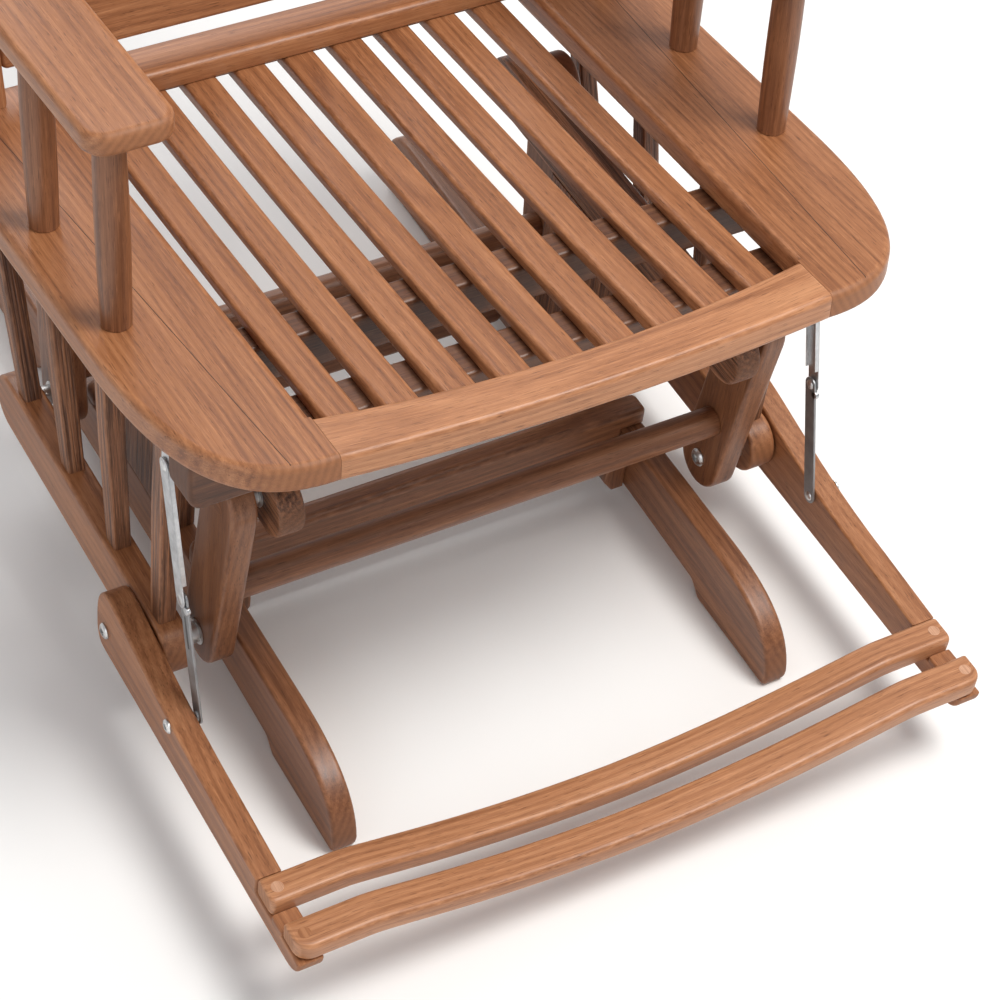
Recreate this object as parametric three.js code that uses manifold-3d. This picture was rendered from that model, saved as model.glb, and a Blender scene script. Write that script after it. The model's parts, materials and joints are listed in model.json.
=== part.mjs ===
// A wooden glider rocking chair with a folding footrest, in millimetres.
// +Z is up, the sitter faces -Y, and the chair is a mirror image of itself across X = 0.
// The seat hangs from a fixed base on four swing links; the footrest turns on the seat's lower rails.
import * as THREE from 'three';
import { mergeVertices } from 'three/addons/utils/BufferGeometryUtils.js';
import Module from 'manifold-3d';

const wasm = await Module();
wasm.setup();

// ---------- driving dimensions ----------
const GAP = 0.3;                 // air left between neighbouring pieces
const PLANK_T = 25;              // runners, uprights, top rails, links and footrest arms
const BOARD_T = 28;              // seat boards, front rail, lower rails and back stiles
const BOLT_R = 4;
const SPACER_R = 9;              // rings on the bolts, in the gaps between the pieces they join
const HEAD_R = 8;
const HEAD_T = 4;

const RUNNER_IN = 222;           // inner face of the runners, uprights and top rails
const RUNNER_OUT = RUNNER_IN + PLANK_T;
const RUNNER_H = 82;
const RUNNER_FRONT = -369;
const RUNNER_REAR = 425;

const LINK_IN = RUNNER_OUT + 13; // inner face of the swing links
const LINK_OUT = LINK_IN + PLANK_T;
const LINK_TOP_Z = 300;          // upper pivots
const LINK_LOW_Z = 104;          // lower pivots
const LINK_TOP_Y = { front: -182, rear: 197 };
const LINK_LOW_Y = { front: -157, rear: 172 };

const LOW_RAIL_IN = LINK_OUT + 18;
const LOW_RAIL_OUT = LOW_RAIL_IN + BOARD_T;

const SEAT_HALF = 240;           // half of the slatted opening's width at its front
const SEAT_REAR_HALF = 246;      // and at its rear
const SEAT_FRONT_Y = -250;       // front corners of the opening
const SEAT_FRONT_Z = 457.3;
const SEAT_TILT = 6.32;          // degrees; the rear is lower
const SEAT_DEPTH = 493;          // the opening from its front corners to the rear rail's lip
const SEAT_REAR = 545;           // rear end of the side boards
const SIDE_HALF = 370;           // half of the width over the side boards

const ARM_IN = LOW_RAIL_OUT + 2; // inner face of the footrest arms
const ARM_OUT = ARM_IN + PLANK_T;
const ARM_PIVOT = { y: -116, z: 95 };

const BACK_LEAN = 16;            // degrees from upright
const BACK_FOOT_Y = 258;         // front face of the stiles where they stand on the side boards

// ---------- finishes ----------
const TEAK = 0xb58a68;
const TEAK_LIGHT = 0xd2a680;
const TEAK_DARK = 0x93694c;
const ZINC = 0xb4b7b8;
const wood = (color) => new THREE.MeshStandardMaterial({ color, roughness: 0.5, metalness: 0 });
const steel = () => new THREE.MeshStandardMaterial({ color: ZINC, roughness: 0.4, metalness: 0.9 });

// ---------- helpers ----------
const chair = new THREE.Group();
const rad = THREE.MathUtils.degToRad;
const sides = [['left', -1], ['right', 1]];

function add(name, geometry, material, parent = chair) {
  const mesh = new THREE.Mesh(geometry, material);
  mesh.name = name;
  parent.add(mesh);
}

// [low, high] of a range measured outwards from the middle of the chair.
const onSide = (sign, inner, outer) => (sign > 0 ? [inner, outer] : [-outer, -inner]);

// A shape drawn in (Y, Z) and pushed out along X.
function alongX(shape, x0, x1, curveSegments = 6) {
  const geometry = new THREE.ExtrudeGeometry(shape, { depth: x1 - x0, bevelEnabled: false, curveSegments });
  const [x, y, z] = [new THREE.Vector3(1, 0, 0), new THREE.Vector3(0, 1, 0), new THREE.Vector3(0, 0, 1)];
  geometry.translate(0, 0, x0);
  return geometry.applyMatrix4(new THREE.Matrix4().makeBasis(y, z, x));
}

// A shape drawn in (X, Z) and pushed out along Y.
function alongY(shape, y0, y1, curveSegments = 6) {
  const geometry = new THREE.ExtrudeGeometry(shape, { depth: y1 - y0, bevelEnabled: false, curveSegments });
  geometry.rotateX(Math.PI / 2);
  return geometry.translate(0, y1, 0);
}

// A shape drawn in (X, Y) and pushed up from z0 to z1, with its edges rounded by r.
function rounded(shape, z0, z1, r, curveSegments = 8) {
  const geometry = new THREE.ExtrudeGeometry(shape, {
    depth: z1 - z0 - 2 * r, bevelEnabled: true, bevelThickness: r, bevelSize: r, bevelOffset: -r,
    bevelSegments: 2, curveSegments,
  });
  return geometry.translate(0, 0, z0 + r);
}

function box(x0, x1, y0, y1, z0, z1) {
  const geometry = new THREE.BoxGeometry(x1 - x0, y1 - y0, z1 - z0);
  return geometry.translate((x0 + x1) / 2, (y0 + y1) / 2, (z0 + z1) / 2);
}

function drill(shape, y, z, r = BOLT_R + GAP) {
  const hole = new THREE.Path();
  hole.absarc(y, z, r, 0, Math.PI * 2, true);
  shape.holes.push(hole);
}

// A bar with round ends of radius r, centred on two points.
function roundBar([y0, z0], [y1, z1], r) {
  const turn = Math.atan2(z1 - z0, y1 - y0);
  const shape = new THREE.Shape();
  shape.absarc(y1, z1, r, turn - Math.PI / 2, turn + Math.PI / 2, false);
  shape.absarc(y0, z0, r, turn + Math.PI / 2, turn + Math.PI * 1.5, false);
  return shape;
}

function toSolid(geometry) {
  const bare = geometry.index ? geometry.toNonIndexed() : geometry.clone();
  bare.deleteAttribute('normal');
  bare.deleteAttribute('uv');
  const merged = mergeVertices(bare, 1e-3);
  const vertProperties = new Float32Array(merged.attributes.position.array);
  const triVerts = new Uint32Array(merged.index.array);
  return new wasm.Manifold(new wasm.Mesh({ numProp: 3, vertProperties, triVerts }));
}

function fromSolid(solid) {
  const mesh = solid.getMesh();
  const geometry = new THREE.BufferGeometry();
  geometry.setAttribute('position', new THREE.BufferAttribute(new Float32Array(mesh.vertProperties), 3));
  geometry.setIndex(new THREE.BufferAttribute(new Uint32Array(mesh.triVerts), 1));
  const flat = geometry.toNonIndexed();
  flat.computeVertexNormals();
  return flat;
}

function joined(parts) {
  return fromSolid(parts.map(toSolid).reduce((sum, part) => sum.add(part)));
}

function cut(body, tools) {
  return fromSolid(tools.map(toSolid).reduce((rest, tool) => rest.subtract(tool), toSolid(body)));
}

// A turned piece along X. Each step is [x where it starts, its radius]; the last step is where it ends.
function turned(steps, y, z, sign, segments = 12) {
  const profile = [new THREE.Vector2(0, steps[0][0])];
  for (let i = 0; i < steps.length - 1; i += 1) {
    const radius = steps[i][1];
    profile.push(new THREE.Vector2(radius, steps[i][0]), new THREE.Vector2(radius, steps[i + 1][0]));
  }
  profile.push(new THREE.Vector2(0, steps.at(-1)[0]));
  const geometry = new THREE.LatheGeometry(profile, segments);
  geometry.rotateZ(-sign * Math.PI / 2);
  return geometry.translate(0, y, z);
}

// ---------- base: runners, uprights, top rails ----------
const FRONT_FOOT_END = -246;     // the front foot stops here and the arch begins
const REAR_FOOT_START = 305;
const ARCH = 14;                 // clearance under the middle of a runner
const ARCH_SLOPE = 19;
const HEEL_R = 46;               // rounding at the rear end of a runner

function runnerShape() {
  const shape = new THREE.Shape();
  shape.moveTo(RUNNER_FRONT + 8, 0);
  shape.lineTo(FRONT_FOOT_END, 0);
  shape.lineTo(FRONT_FOOT_END + ARCH_SLOPE, ARCH);
  const archMiddle = (FRONT_FOOT_END + REAR_FOOT_START) / 2;
  shape.quadraticCurveTo(archMiddle, ARCH + 12, REAR_FOOT_START - ARCH_SLOPE, ARCH);
  shape.lineTo(REAR_FOOT_START, 0);
  shape.lineTo(RUNNER_REAR - HEEL_R / 2, 0);
  shape.quadraticCurveTo(RUNNER_REAR, 0, RUNNER_REAR, RUNNER_H - HEEL_R);
  shape.quadraticCurveTo(RUNNER_REAR, RUNNER_H, RUNNER_REAR - HEEL_R, RUNNER_H);
  shape.lineTo(SEAT_FRONT_Y, RUNNER_H);
  shape.bezierCurveTo(SEAT_FRONT_Y - 65, RUNNER_H, RUNNER_FRONT + 8, 64, RUNNER_FRONT, 14);
  shape.quadraticCurveTo(RUNNER_FRONT, 0, RUNNER_FRONT + 8, 0);
  return shape;
}

const UPRIGHT_Y = [-20, 112];
const TOP_RAIL_R = 30;
const TOP_RAIL_TIPS = [-228, 243];
const topRailShape = roundBar(
  [TOP_RAIL_TIPS[0] + TOP_RAIL_R, LINK_TOP_Z],
  [TOP_RAIL_TIPS[1] - TOP_RAIL_R, LINK_TOP_Z],
  TOP_RAIL_R,
);
drill(topRailShape, LINK_TOP_Y.front, LINK_TOP_Z);
drill(topRailShape, LINK_TOP_Y.rear, LINK_TOP_Z);

for (const [side, sign] of sides) {
  const x = onSide(sign, RUNNER_IN, RUNNER_OUT);
  add(`runner_${side}`, alongX(runnerShape(), ...x), wood(TEAK_DARK));
  const upright = box(...x, ...UPRIGHT_Y, RUNNER_H + GAP, LINK_TOP_Z - TOP_RAIL_R - GAP);
  add(`upright_${side}`, upright, wood(TEAK_DARK));
  add(`top_rail_${side}`, alongX(topRailShape, ...x), wood(TEAK_DARK));
}

// ---------- base: cross panels, notched over the runners ----------
const PANEL_LOW = 22;            // underside, clear of the floor
function crossPanel(name, y, top) {
  const shape = new THREE.Shape();
  const edge = 8;
  shape.moveTo(y + edge, PANEL_LOW);
  shape.lineTo(y + PLANK_T - edge, PANEL_LOW);
  shape.quadraticCurveTo(y + PLANK_T, PANEL_LOW, y + PLANK_T, PANEL_LOW + edge);
  shape.lineTo(y + PLANK_T, top - edge);
  shape.quadraticCurveTo(y + PLANK_T, top, y + PLANK_T - edge, top);
  shape.lineTo(y + edge, top);
  shape.quadraticCurveTo(y, top, y, top - edge);
  shape.lineTo(y, PANEL_LOW + edge);
  shape.quadraticCurveTo(y, PANEL_LOW, y + edge, PANEL_LOW);
  const notches = sides.map(([, sign]) => box(
    ...onSide(sign, RUNNER_IN - GAP, RUNNER_OUT + 1), y - 1, y + PLANK_T + 1, 0, RUNNER_H + GAP,
  ));
  add(name, cut(alongX(shape, -RUNNER_OUT, RUNNER_OUT, 3), notches), wood(TEAK));
}
crossPanel('front_cross_panel', -80, 107);
crossPanel('rear_cross_panel', 156, 100);

// ---------- swing links, their stretchers and pivot bolts ----------
const LINK_R = 30;
const LINK_END = 34;             // a link reaches this far past its pivots
const STRETCHER_R = 15;
const STRETCHER_Z = { front: 163, rear: 130 };
const LOOSE_R = 6.5;             // wide hole that lets the rear links follow the seat

for (const end of ['front', 'rear']) {
  const [topY, lowY] = [LINK_TOP_Y[end], LINK_LOW_Y[end]];
  const run = new THREE.Vector2(lowY - topY, LINK_LOW_Z - LINK_TOP_Z).setLength(LINK_END - LINK_R);
  const linkShape = roundBar([topY - run.x, LINK_TOP_Z - run.y], [lowY + run.x, LINK_LOW_Z + run.y], LINK_R);
  drill(linkShape, topY, LINK_TOP_Z);
  drill(linkShape, lowY, LINK_LOW_Z, end === 'rear' ? LOOSE_R : BOLT_R + GAP);

  const down = (LINK_TOP_Z - STRETCHER_Z[end]) / (LINK_TOP_Z - LINK_LOW_Z);
  const stretcherY = topY + (lowY - topY) * down;
  const half = LINK_IN - GAP;
  const stretcher = turned([[-half, STRETCHER_R], [half, 0]], stretcherY, STRETCHER_Z[end], 1, 20);
  add(`${end}_stretcher`, stretcher, wood(TEAK));

  for (const [side, sign] of sides) {
    add(`${end}_link_${side}`, alongX(linkShape, ...onSide(sign, LINK_IN, LINK_OUT)), wood(TEAK));
    const topBolt = [
      [RUNNER_IN + 1, BOLT_R],
      [RUNNER_OUT + GAP, SPACER_R],
      [LINK_IN - GAP, BOLT_R],
      [LINK_OUT + GAP, HEAD_R],
      [LINK_OUT + HEAD_T, 0],
    ];
    const lowBolt = [
      [LINK_IN - HEAD_T, HEAD_R],
      [LINK_IN - GAP, BOLT_R],
      [LINK_OUT + GAP, SPACER_R],
      [LOW_RAIL_IN - GAP, BOLT_R],
      [LOW_RAIL_OUT - 1, 0],
    ];
    add(`${end}_top_bolt_${side}`, turned(topBolt, topY, LINK_TOP_Z, sign), steel());
    add(`${end}_low_bolt_${side}`, turned(lowBolt, lowY, LINK_LOW_Z, sign), steel());
  }
}

// ---------- the seat, in a frame tilted with it ----------
// Its x runs across, its y back from the front corners of the opening, its z up from the boards' top.
const seat = new THREE.Group();
seat.position.set(0, SEAT_FRONT_Y, SEAT_FRONT_Z);
seat.rotation.x = -rad(SEAT_TILT);
chair.add(seat);

// Height of a side board's top, and of its underside, at a given distance along the chair.
const boardTop = (y) => SEAT_FRONT_Z - (y - SEAT_FRONT_Y) * Math.tan(rad(SEAT_TILT));
const boardUnder = (y) => boardTop(y) - BOARD_T / Math.cos(rad(SEAT_TILT));

const NOSE = -55;                // front edge of the side boards
const BOARD_EDGE = 6;
const FRONT_ROUND = 160;         // the outer edge is straight behind this
for (const [side, sign] of sides) {
  const shape = new THREE.Shape();
  shape.moveTo(sign * SEAT_HALF, NOSE);
  shape.lineTo(sign * (SEAT_HALF + 10), NOSE);
  shape.bezierCurveTo(
    sign * (SIDE_HALF - 35), NOSE + 3, sign * (SIDE_HALF - 4), 20, sign * (SIDE_HALF - 3), FRONT_ROUND,
  );
  shape.lineTo(sign * SIDE_HALF, SEAT_REAR);
  shape.lineTo(sign * SEAT_REAR_HALF, SEAT_REAR);
  add(`seat_board_${side}`, rounded(shape, -BOARD_T, 0, BOARD_EDGE), wood(TEAK), seat);
}

const SLAT_COUNT = 9;
const SLAT_PITCH = 51.7;
const SLAT_W = 33;
const SLAT_DROP = 14;            // slat tops lie this far below the boards
const SLAT_T = 14;
const SLAT_DIP = 4;              // a slat's top is hollowed this much at its middle
const SLAT_FRONT = -36;          // slat ends, in rebates under the two rails
const SLAT_REAR = SEAT_DEPTH + 18;
const slatBand = (SLAT_COUNT - 1) / 2 * SLAT_PITCH + SLAT_W / 2 + 2;
const rebate = (y0, y1) => box(-slatBand, slatBand, y0, y1, -BOARD_T - 1, -SLAT_DROP + GAP);

const FRONT_BOW = 12;            // how far the front rail's two edges bow forwards
const OPENING_BOW = 22;
{
  const half = SEAT_HALF - GAP;
  const shape = new THREE.Shape();
  shape.moveTo(-half, 0);
  shape.quadraticCurveTo(0, -2 * OPENING_BOW, half, 0);
  shape.lineTo(half, NOSE);
  shape.quadraticCurveTo(0, NOSE - 2 * FRONT_BOW, -half, NOSE);
  const blank = rounded(shape, -BOARD_T, 0, BOARD_EDGE);
  add('front_rail', cut(blank, [rebate(SLAT_FRONT - 1, BOARD_EDGE)]), wood(TEAK_LIGHT), seat);
}

const LIP = 8;                   // the rear rail stands this far above the boards
{
  const half = SEAT_REAR_HALF - 1;
  const blank = box(-half, half, SEAT_DEPTH, SEAT_REAR - 3, -BOARD_T, LIP);
  add('rear_rail', cut(blank, [rebate(SEAT_DEPTH - 1, SLAT_REAR + 1)]), wood(TEAK), seat);
}

{
  const shape = new THREE.Shape();
  shape.moveTo(SLAT_FRONT, -SLAT_DROP - SLAT_T);
  shape.lineTo(SLAT_REAR, -SLAT_DROP - SLAT_T);
  shape.lineTo(SLAT_REAR, -SLAT_DROP);
  shape.lineTo(SEAT_DEPTH, -SLAT_DROP);
  shape.quadraticCurveTo(SEAT_DEPTH / 2, -SLAT_DROP - 2 * SLAT_DIP, 0, -SLAT_DROP);
  shape.lineTo(SLAT_FRONT, -SLAT_DROP);
  for (let i = 0; i < SLAT_COUNT; i += 1) {
    const x = (i - (SLAT_COUNT - 1) / 2) * SLAT_PITCH;
    add(`slat_${i + 1}`, alongX(shape, x - SLAT_W / 2, x + SLAT_W / 2), wood(TEAK), seat);
  }
}

// Two beams under the slats, reaching under both side boards.
const BEAM_HALF = 340;
const BEAM_CORNER_R = 5;
function beam(name, front, depth, height) {
  const top = -BOARD_T - GAP;
  const r = BEAM_CORNER_R;
  const shape = new THREE.Shape();
  shape.moveTo(-BEAM_HALF, top);
  shape.lineTo(-BEAM_HALF, top - height + r);
  shape.absarc(-BEAM_HALF + r, top - height + r, r, Math.PI, Math.PI * 1.5, false);
  shape.absarc(BEAM_HALF - r, top - height + r, r, Math.PI * 1.5, Math.PI * 2, false);
  shape.lineTo(BEAM_HALF, top);
  add(name, alongY(shape, front, front + depth, 3), wood(TEAK_DARK), seat);
}
beam('front_beam', 20, 43, 55);
beam('middle_beam', 130, 33, 42);

// ---------- lower side frames: a rail and four leaning spindles up to the side board ----------
const LOW_RAIL_R = 30;
const LOW_RAIL_Z = 105.5;
const LOW_RAIL_TIPS = [-186, 203];
const SPINDLE = { x: 317, wide: 20, deep: 23 };
const spindles = [               // foot and head, front to rear
  [-150, -146],
  [-54, -12],
  [50, 118],
  [151, 250],
];
const spindleFootZ = LOW_RAIL_Z + LOW_RAIL_R - 2;
const lowRailShape = roundBar(
  [LOW_RAIL_TIPS[0] + LOW_RAIL_R, LOW_RAIL_Z],
  [LOW_RAIL_TIPS[1] - LOW_RAIL_R, LOW_RAIL_Z],
  LOW_RAIL_R,
);
drill(lowRailShape, LINK_LOW_Y.front, LINK_LOW_Z);
drill(lowRailShape, LINK_LOW_Y.rear, LINK_LOW_Z);
drill(lowRailShape, ARM_PIVOT.y, ARM_PIVOT.z);

// The head of a spindle is cut to the slope of the board above it.
function spindleShape(foot, head) {
  const half = SPINDLE.deep / 2;
  const shape = new THREE.Shape();
  shape.moveTo(foot - half, spindleFootZ);
  shape.lineTo(foot + half, spindleFootZ);
  shape.lineTo(head + half, boardUnder(head + half) - GAP);
  shape.lineTo(head - half, boardUnder(head - half) - GAP);
  return shape;
}

for (const [side, sign] of sides) {
  const rail = alongX(lowRailShape, ...onSide(sign, LOW_RAIL_IN, LOW_RAIL_OUT));
  const x = onSide(sign, SPINDLE.x - SPINDLE.wide / 2, SPINDLE.x + SPINDLE.wide / 2);
  const bars = spindles.map(([foot, head]) => alongX(spindleShape(foot, head), ...x));
  add(`lower_frame_${side}`, joined([rail, ...bars]), wood(TEAK_DARK));
}

// ---------- armrests on three posts each, in the seat's frame ----------
const POST_R = 15;
const POST_X = 331;
const POST_Y = { front: 180, middle: 333, rear: 485 };
const ARMREST = { under: 203, thick: 23, front: 133, inner: 286, outer: 373, narrow: 6 };
const backAngle = rad(BACK_LEAN - SEAT_TILT);
const backFootY = (BACK_FOOT_Y - SEAT_FRONT_Y) / Math.cos(rad(SEAT_TILT));
const stileFaceY = (z) => backFootY + z * Math.tan(backAngle);

for (const [side, sign] of sides) {
  for (const [place, y] of Object.entries(POST_Y)) {
    const post = new THREE.CylinderGeometry(POST_R, POST_R, ARMREST.under - 2 * GAP, 20);
    post.rotateX(Math.PI / 2).translate(sign * POST_X, y, ARMREST.under / 2);
    add(`post_${place}_${side}`, post, wood(TEAK), seat);
  }
  const corner = 22;
  const rear = stileFaceY(ARMREST.under) - 1;
  const frontOuter = ARMREST.outer - ARMREST.narrow;
  const shape = new THREE.Shape();
  shape.moveTo(sign * ARMREST.inner, rear);
  shape.lineTo(sign * ARMREST.inner, ARMREST.front + corner);
  shape.quadraticCurveTo(sign * ARMREST.inner, ARMREST.front, sign * (ARMREST.inner + corner), ARMREST.front);
  shape.lineTo(sign * (frontOuter - corner), ARMREST.front);
  shape.quadraticCurveTo(sign * frontOuter, ARMREST.front, sign * frontOuter, ARMREST.front + corner);
  shape.lineTo(sign * ARMREST.outer, rear);
  const board = rounded(shape, ARMREST.under, ARMREST.under + ARMREST.thick, 5, 5);
  add(`armrest_${side}`, board, wood(TEAK_LIGHT), seat);
}

// ---------- backrest, in a frame that leans back ----------
// Its x runs across, its y back from the stiles' front face, its z up along the stiles.
const back = new THREE.Group();
back.position.set(0, BACK_FOOT_Y, boardTop(BACK_FOOT_Y));
back.rotation.x = -rad(BACK_LEAN);
chair.add(back);

const STILE = { inner: 290, outer: 330, length: 670 };
for (const [side, sign] of sides) {
  const shape = new THREE.Shape();
  shape.moveTo(0, GAP);
  shape.lineTo(BOARD_T, GAP + BOARD_T * Math.tan(backAngle));
  shape.lineTo(BOARD_T, STILE.length - BOARD_T / 2);
  shape.absarc(BOARD_T / 2, STILE.length - BOARD_T / 2, BOARD_T / 2, 0, Math.PI, false);
  add(`back_stile_${side}`, alongX(shape, ...onSide(sign, STILE.inner, STILE.outer)), wood(TEAK), back);
}

const BACK_RAIL_T = 22;
const BACK_SLAT_T = 12;
const BACK_SLATS = 5;
const BACK_SLAT_W = 60;
const LOW_BACK_RAIL = [35, 95];
const CREST = [560, 632];        // underside, and top at the stiles
const CREST_RISE = 24;
{
  const half = STILE.inner - GAP;
  const front = (BOARD_T - BACK_RAIL_T) / 2;
  const crest = new THREE.Shape();
  crest.moveTo(-half, CREST[0]);
  crest.lineTo(half, CREST[0]);
  crest.lineTo(half, CREST[1]);
  crest.quadraticCurveTo(0, CREST[1] + 2 * CREST_RISE, -half, CREST[1]);
  const pieces = [
    alongY(crest, front, front + BACK_RAIL_T, 12),
    box(-half, half, front, front + BACK_RAIL_T, ...LOW_BACK_RAIL),
  ];
  const pitch = 2 * half / (BACK_SLATS + 1);
  const slatFront = front + (BACK_RAIL_T - BACK_SLAT_T) / 2;
  for (let i = 0; i < BACK_SLATS; i += 1) {
    const x = (i - (BACK_SLATS - 1) / 2) * pitch;
    const [x0, x1] = [x - BACK_SLAT_W / 2, x + BACK_SLAT_W / 2];
    pieces.push(box(x0, x1, slatFront, slatFront + BACK_SLAT_T, LOW_BACK_RAIL[1] - 5, CREST[0] + 5));
  }
  add('back_panel', joined(pieces), wood(TEAK), back);
}

// ---------- footrest: two arms, two bars, two pivot bolts ----------
const ARM_UNDER = 65;
const BAR_TOP = 108;
const BAR_T = 21;
const BAR_DIP = 33;              // a bar hangs this much lower at its middle
const BARS = { rear: [-458, -428], front: [-511, -478] };
const ARM_NOSE = BARS.front[0];  // the arms end flush with the front bar
const BAR_UNDER = BAR_TOP - BAR_T; // the bars are let into the arms down to here
const LAND = 5;                  // the arms stand this far up between the bars
const STAY_LOW = { y: -250.5, z: 111 };

const ARM_NOSE_R = 24;
const ARM_HEEL_R = 20;           // from the pivot to the arm's rear end
const ARM_HUMP = 78;             // height of the arm over its pivot

function armShape() {
  const heel = ARM_PIVOT.y + ARM_HEEL_R;
  const hump = ARM_UNDER + ARM_HUMP;
  const shape = new THREE.Shape();
  shape.moveTo(ARM_NOSE + ARM_NOSE_R, ARM_UNDER);
  shape.lineTo(ARM_PIVOT.y, ARM_UNDER);
  shape.quadraticCurveTo(heel, ARM_UNDER, heel, ARM_PIVOT.z);
  shape.quadraticCurveTo(heel, hump, ARM_PIVOT.y - 7, hump);
  shape.bezierCurveTo(
    ARM_PIVOT.y - 50, hump - 6, STAY_LOW.y + 12, STAY_LOW.z + 2, STAY_LOW.y - 90, STAY_LOW.z - 1,
  );
  shape.lineTo(BARS.rear[1] + GAP, BAR_TOP - 3);
  shape.lineTo(BARS.rear[1] + GAP, BAR_UNDER - GAP);
  shape.lineTo(BARS.rear[0] - GAP, BAR_UNDER - GAP);
  shape.lineTo(BARS.rear[0] - GAP, BAR_UNDER + LAND);
  shape.lineTo(BARS.front[1] + GAP, BAR_UNDER + LAND);
  shape.lineTo(BARS.front[1] + GAP, BAR_UNDER - GAP);
  shape.lineTo(ARM_NOSE, BAR_UNDER - GAP);
  shape.quadraticCurveTo(ARM_NOSE, ARM_UNDER, ARM_NOSE + ARM_NOSE_R, ARM_UNDER);
  return shape;
}

const BAR_FLAT_IN = 45;          // a bar's flat ends reach this far in from the arms

// A bar with flat ends over the arms, sagging between them.
function barShape() {
  const end = ARM_OUT - 1;
  const flat = ARM_IN - BAR_FLAT_IN;
  const shape = new THREE.Shape();
  shape.moveTo(-end, BAR_TOP);
  shape.lineTo(-end, BAR_UNDER);
  shape.lineTo(-flat, BAR_UNDER);
  shape.quadraticCurveTo(0, BAR_UNDER - 2 * BAR_DIP, flat, BAR_UNDER);
  shape.lineTo(end, BAR_UNDER);
  shape.lineTo(end, BAR_TOP);
  shape.lineTo(flat, BAR_TOP);
  shape.quadraticCurveTo(0, BAR_TOP - 2 * BAR_DIP, -flat, BAR_TOP);
  return shape;
}
add('footrest_bar_rear', alongY(barShape(), ...BARS.rear, 16), wood(TEAK_LIGHT));
add('footrest_bar_front', alongY(barShape(), ...BARS.front, 16), wood(TEAK_LIGHT));

for (const [side, sign] of sides) {
  const shape = armShape();
  drill(shape, ARM_PIVOT.y, ARM_PIVOT.z);
  add(`footrest_arm_${side}`, alongX(shape, ...onSide(sign, ARM_IN, ARM_OUT)), wood(TEAK));
  const pivotBolt = [
    [LOW_RAIL_IN + 3, BOLT_R],
    [LOW_RAIL_OUT + GAP, SPACER_R],
    [ARM_IN - GAP, BOLT_R],
    [ARM_OUT + GAP, HEAD_R],
    [ARM_OUT + HEAD_T, 0],
  ];
  add(`footrest_bolt_${side}`, turned(pivotBolt, ARM_PIVOT.y, ARM_PIVOT.z, sign), steel());
}

// ---------- folding stays: two flat strips a side, straight while the footrest is down ----------
const STAY_T = 2.3;
const STAY_R = 8;                // half of a strip's width
const STAY_TOP = { y: -172, z: 361 };
const STAY_SPLIT = 0.52;         // share of the stay's length above its middle joint
const stayMid = [
  STAY_TOP.y + (STAY_LOW.y - STAY_TOP.y) * STAY_SPLIT,
  STAY_TOP.z + (STAY_LOW.z - STAY_TOP.z) * STAY_SPLIT,
];
const lowerStay = roundBar([STAY_LOW.y, STAY_LOW.z], stayMid, STAY_R);
const upperStay = roundBar(stayMid, [STAY_TOP.y, STAY_TOP.z], STAY_R);
for (const [side, sign] of sides) {
  const outer = ARM_IN - GAP;
  const inner = outer - STAY_T - GAP;
  add(`stay_upper_${side}`, alongX(upperStay, ...onSide(sign, outer - STAY_T, outer)), steel());
  add(`stay_lower_${side}`, alongX(lowerStay, ...onSide(sign, inner - STAY_T, inner)), steel());
}

// ---------- stand the chair on Z = 0, centred over the origin ----------
chair.updateMatrixWorld(true);
const bounds = new THREE.Box3().setFromObject(chair, true);
chair.position.set(0, -(bounds.min.y + bounds.max.y) / 2, -bounds.min.z);

export default chair;
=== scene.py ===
"""The looks of the glider rocking chair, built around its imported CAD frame.

Every wooden piece is a prism: an outline pushed out between two faces, with rounded edges, and sometimes
bent. Each vertex carries the wood's own coordinates (along the grain, across it, through the thickness),
so that the grain runs along the piece, and two weights, for worn edges and for end grain.
"""
import json
import math
import random

import bpy
import numpy as np
from mathutils import Matrix, Vector


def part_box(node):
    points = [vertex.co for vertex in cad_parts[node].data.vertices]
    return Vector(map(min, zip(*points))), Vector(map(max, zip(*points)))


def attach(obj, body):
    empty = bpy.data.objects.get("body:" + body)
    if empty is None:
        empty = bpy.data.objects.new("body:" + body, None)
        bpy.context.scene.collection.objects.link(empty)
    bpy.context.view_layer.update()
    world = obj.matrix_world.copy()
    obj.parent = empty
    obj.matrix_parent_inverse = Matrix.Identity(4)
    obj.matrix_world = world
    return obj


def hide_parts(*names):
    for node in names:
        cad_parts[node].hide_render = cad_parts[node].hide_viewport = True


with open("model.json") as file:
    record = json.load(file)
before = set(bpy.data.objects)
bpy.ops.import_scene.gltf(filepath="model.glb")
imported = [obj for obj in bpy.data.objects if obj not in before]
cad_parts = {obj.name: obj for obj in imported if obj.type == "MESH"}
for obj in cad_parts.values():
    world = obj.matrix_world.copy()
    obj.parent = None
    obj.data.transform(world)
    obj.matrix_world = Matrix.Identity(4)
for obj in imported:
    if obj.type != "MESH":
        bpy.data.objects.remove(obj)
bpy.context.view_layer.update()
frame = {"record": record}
JOINTS = {joint["name"]: Vector(joint["pos_m"]) for joint in frame["record"]["behaviour"]["joints"]}
SIDES = (("left", -1), ("right", 1))
MM = 0.001
random.seed(11)

# ---------- angles and places taken from the frame ----------
SEAT_TILT = math.radians(6.32)
BACK_LEAN = math.radians(16)
BOARD_T = 28 * MM
BOARD_EDGE = 6 * MM              # rounding of the seat boards
NOSE = 55 * MM                   # the boards reach this far in front of the slatted opening


def tilted_frame(y, z, angle):
    """A frame whose y runs back and down by angle, and whose z is square to it."""
    return Matrix.Translation((0, y, z)) @ Matrix.Rotation(-angle, 4, "X")


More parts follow.
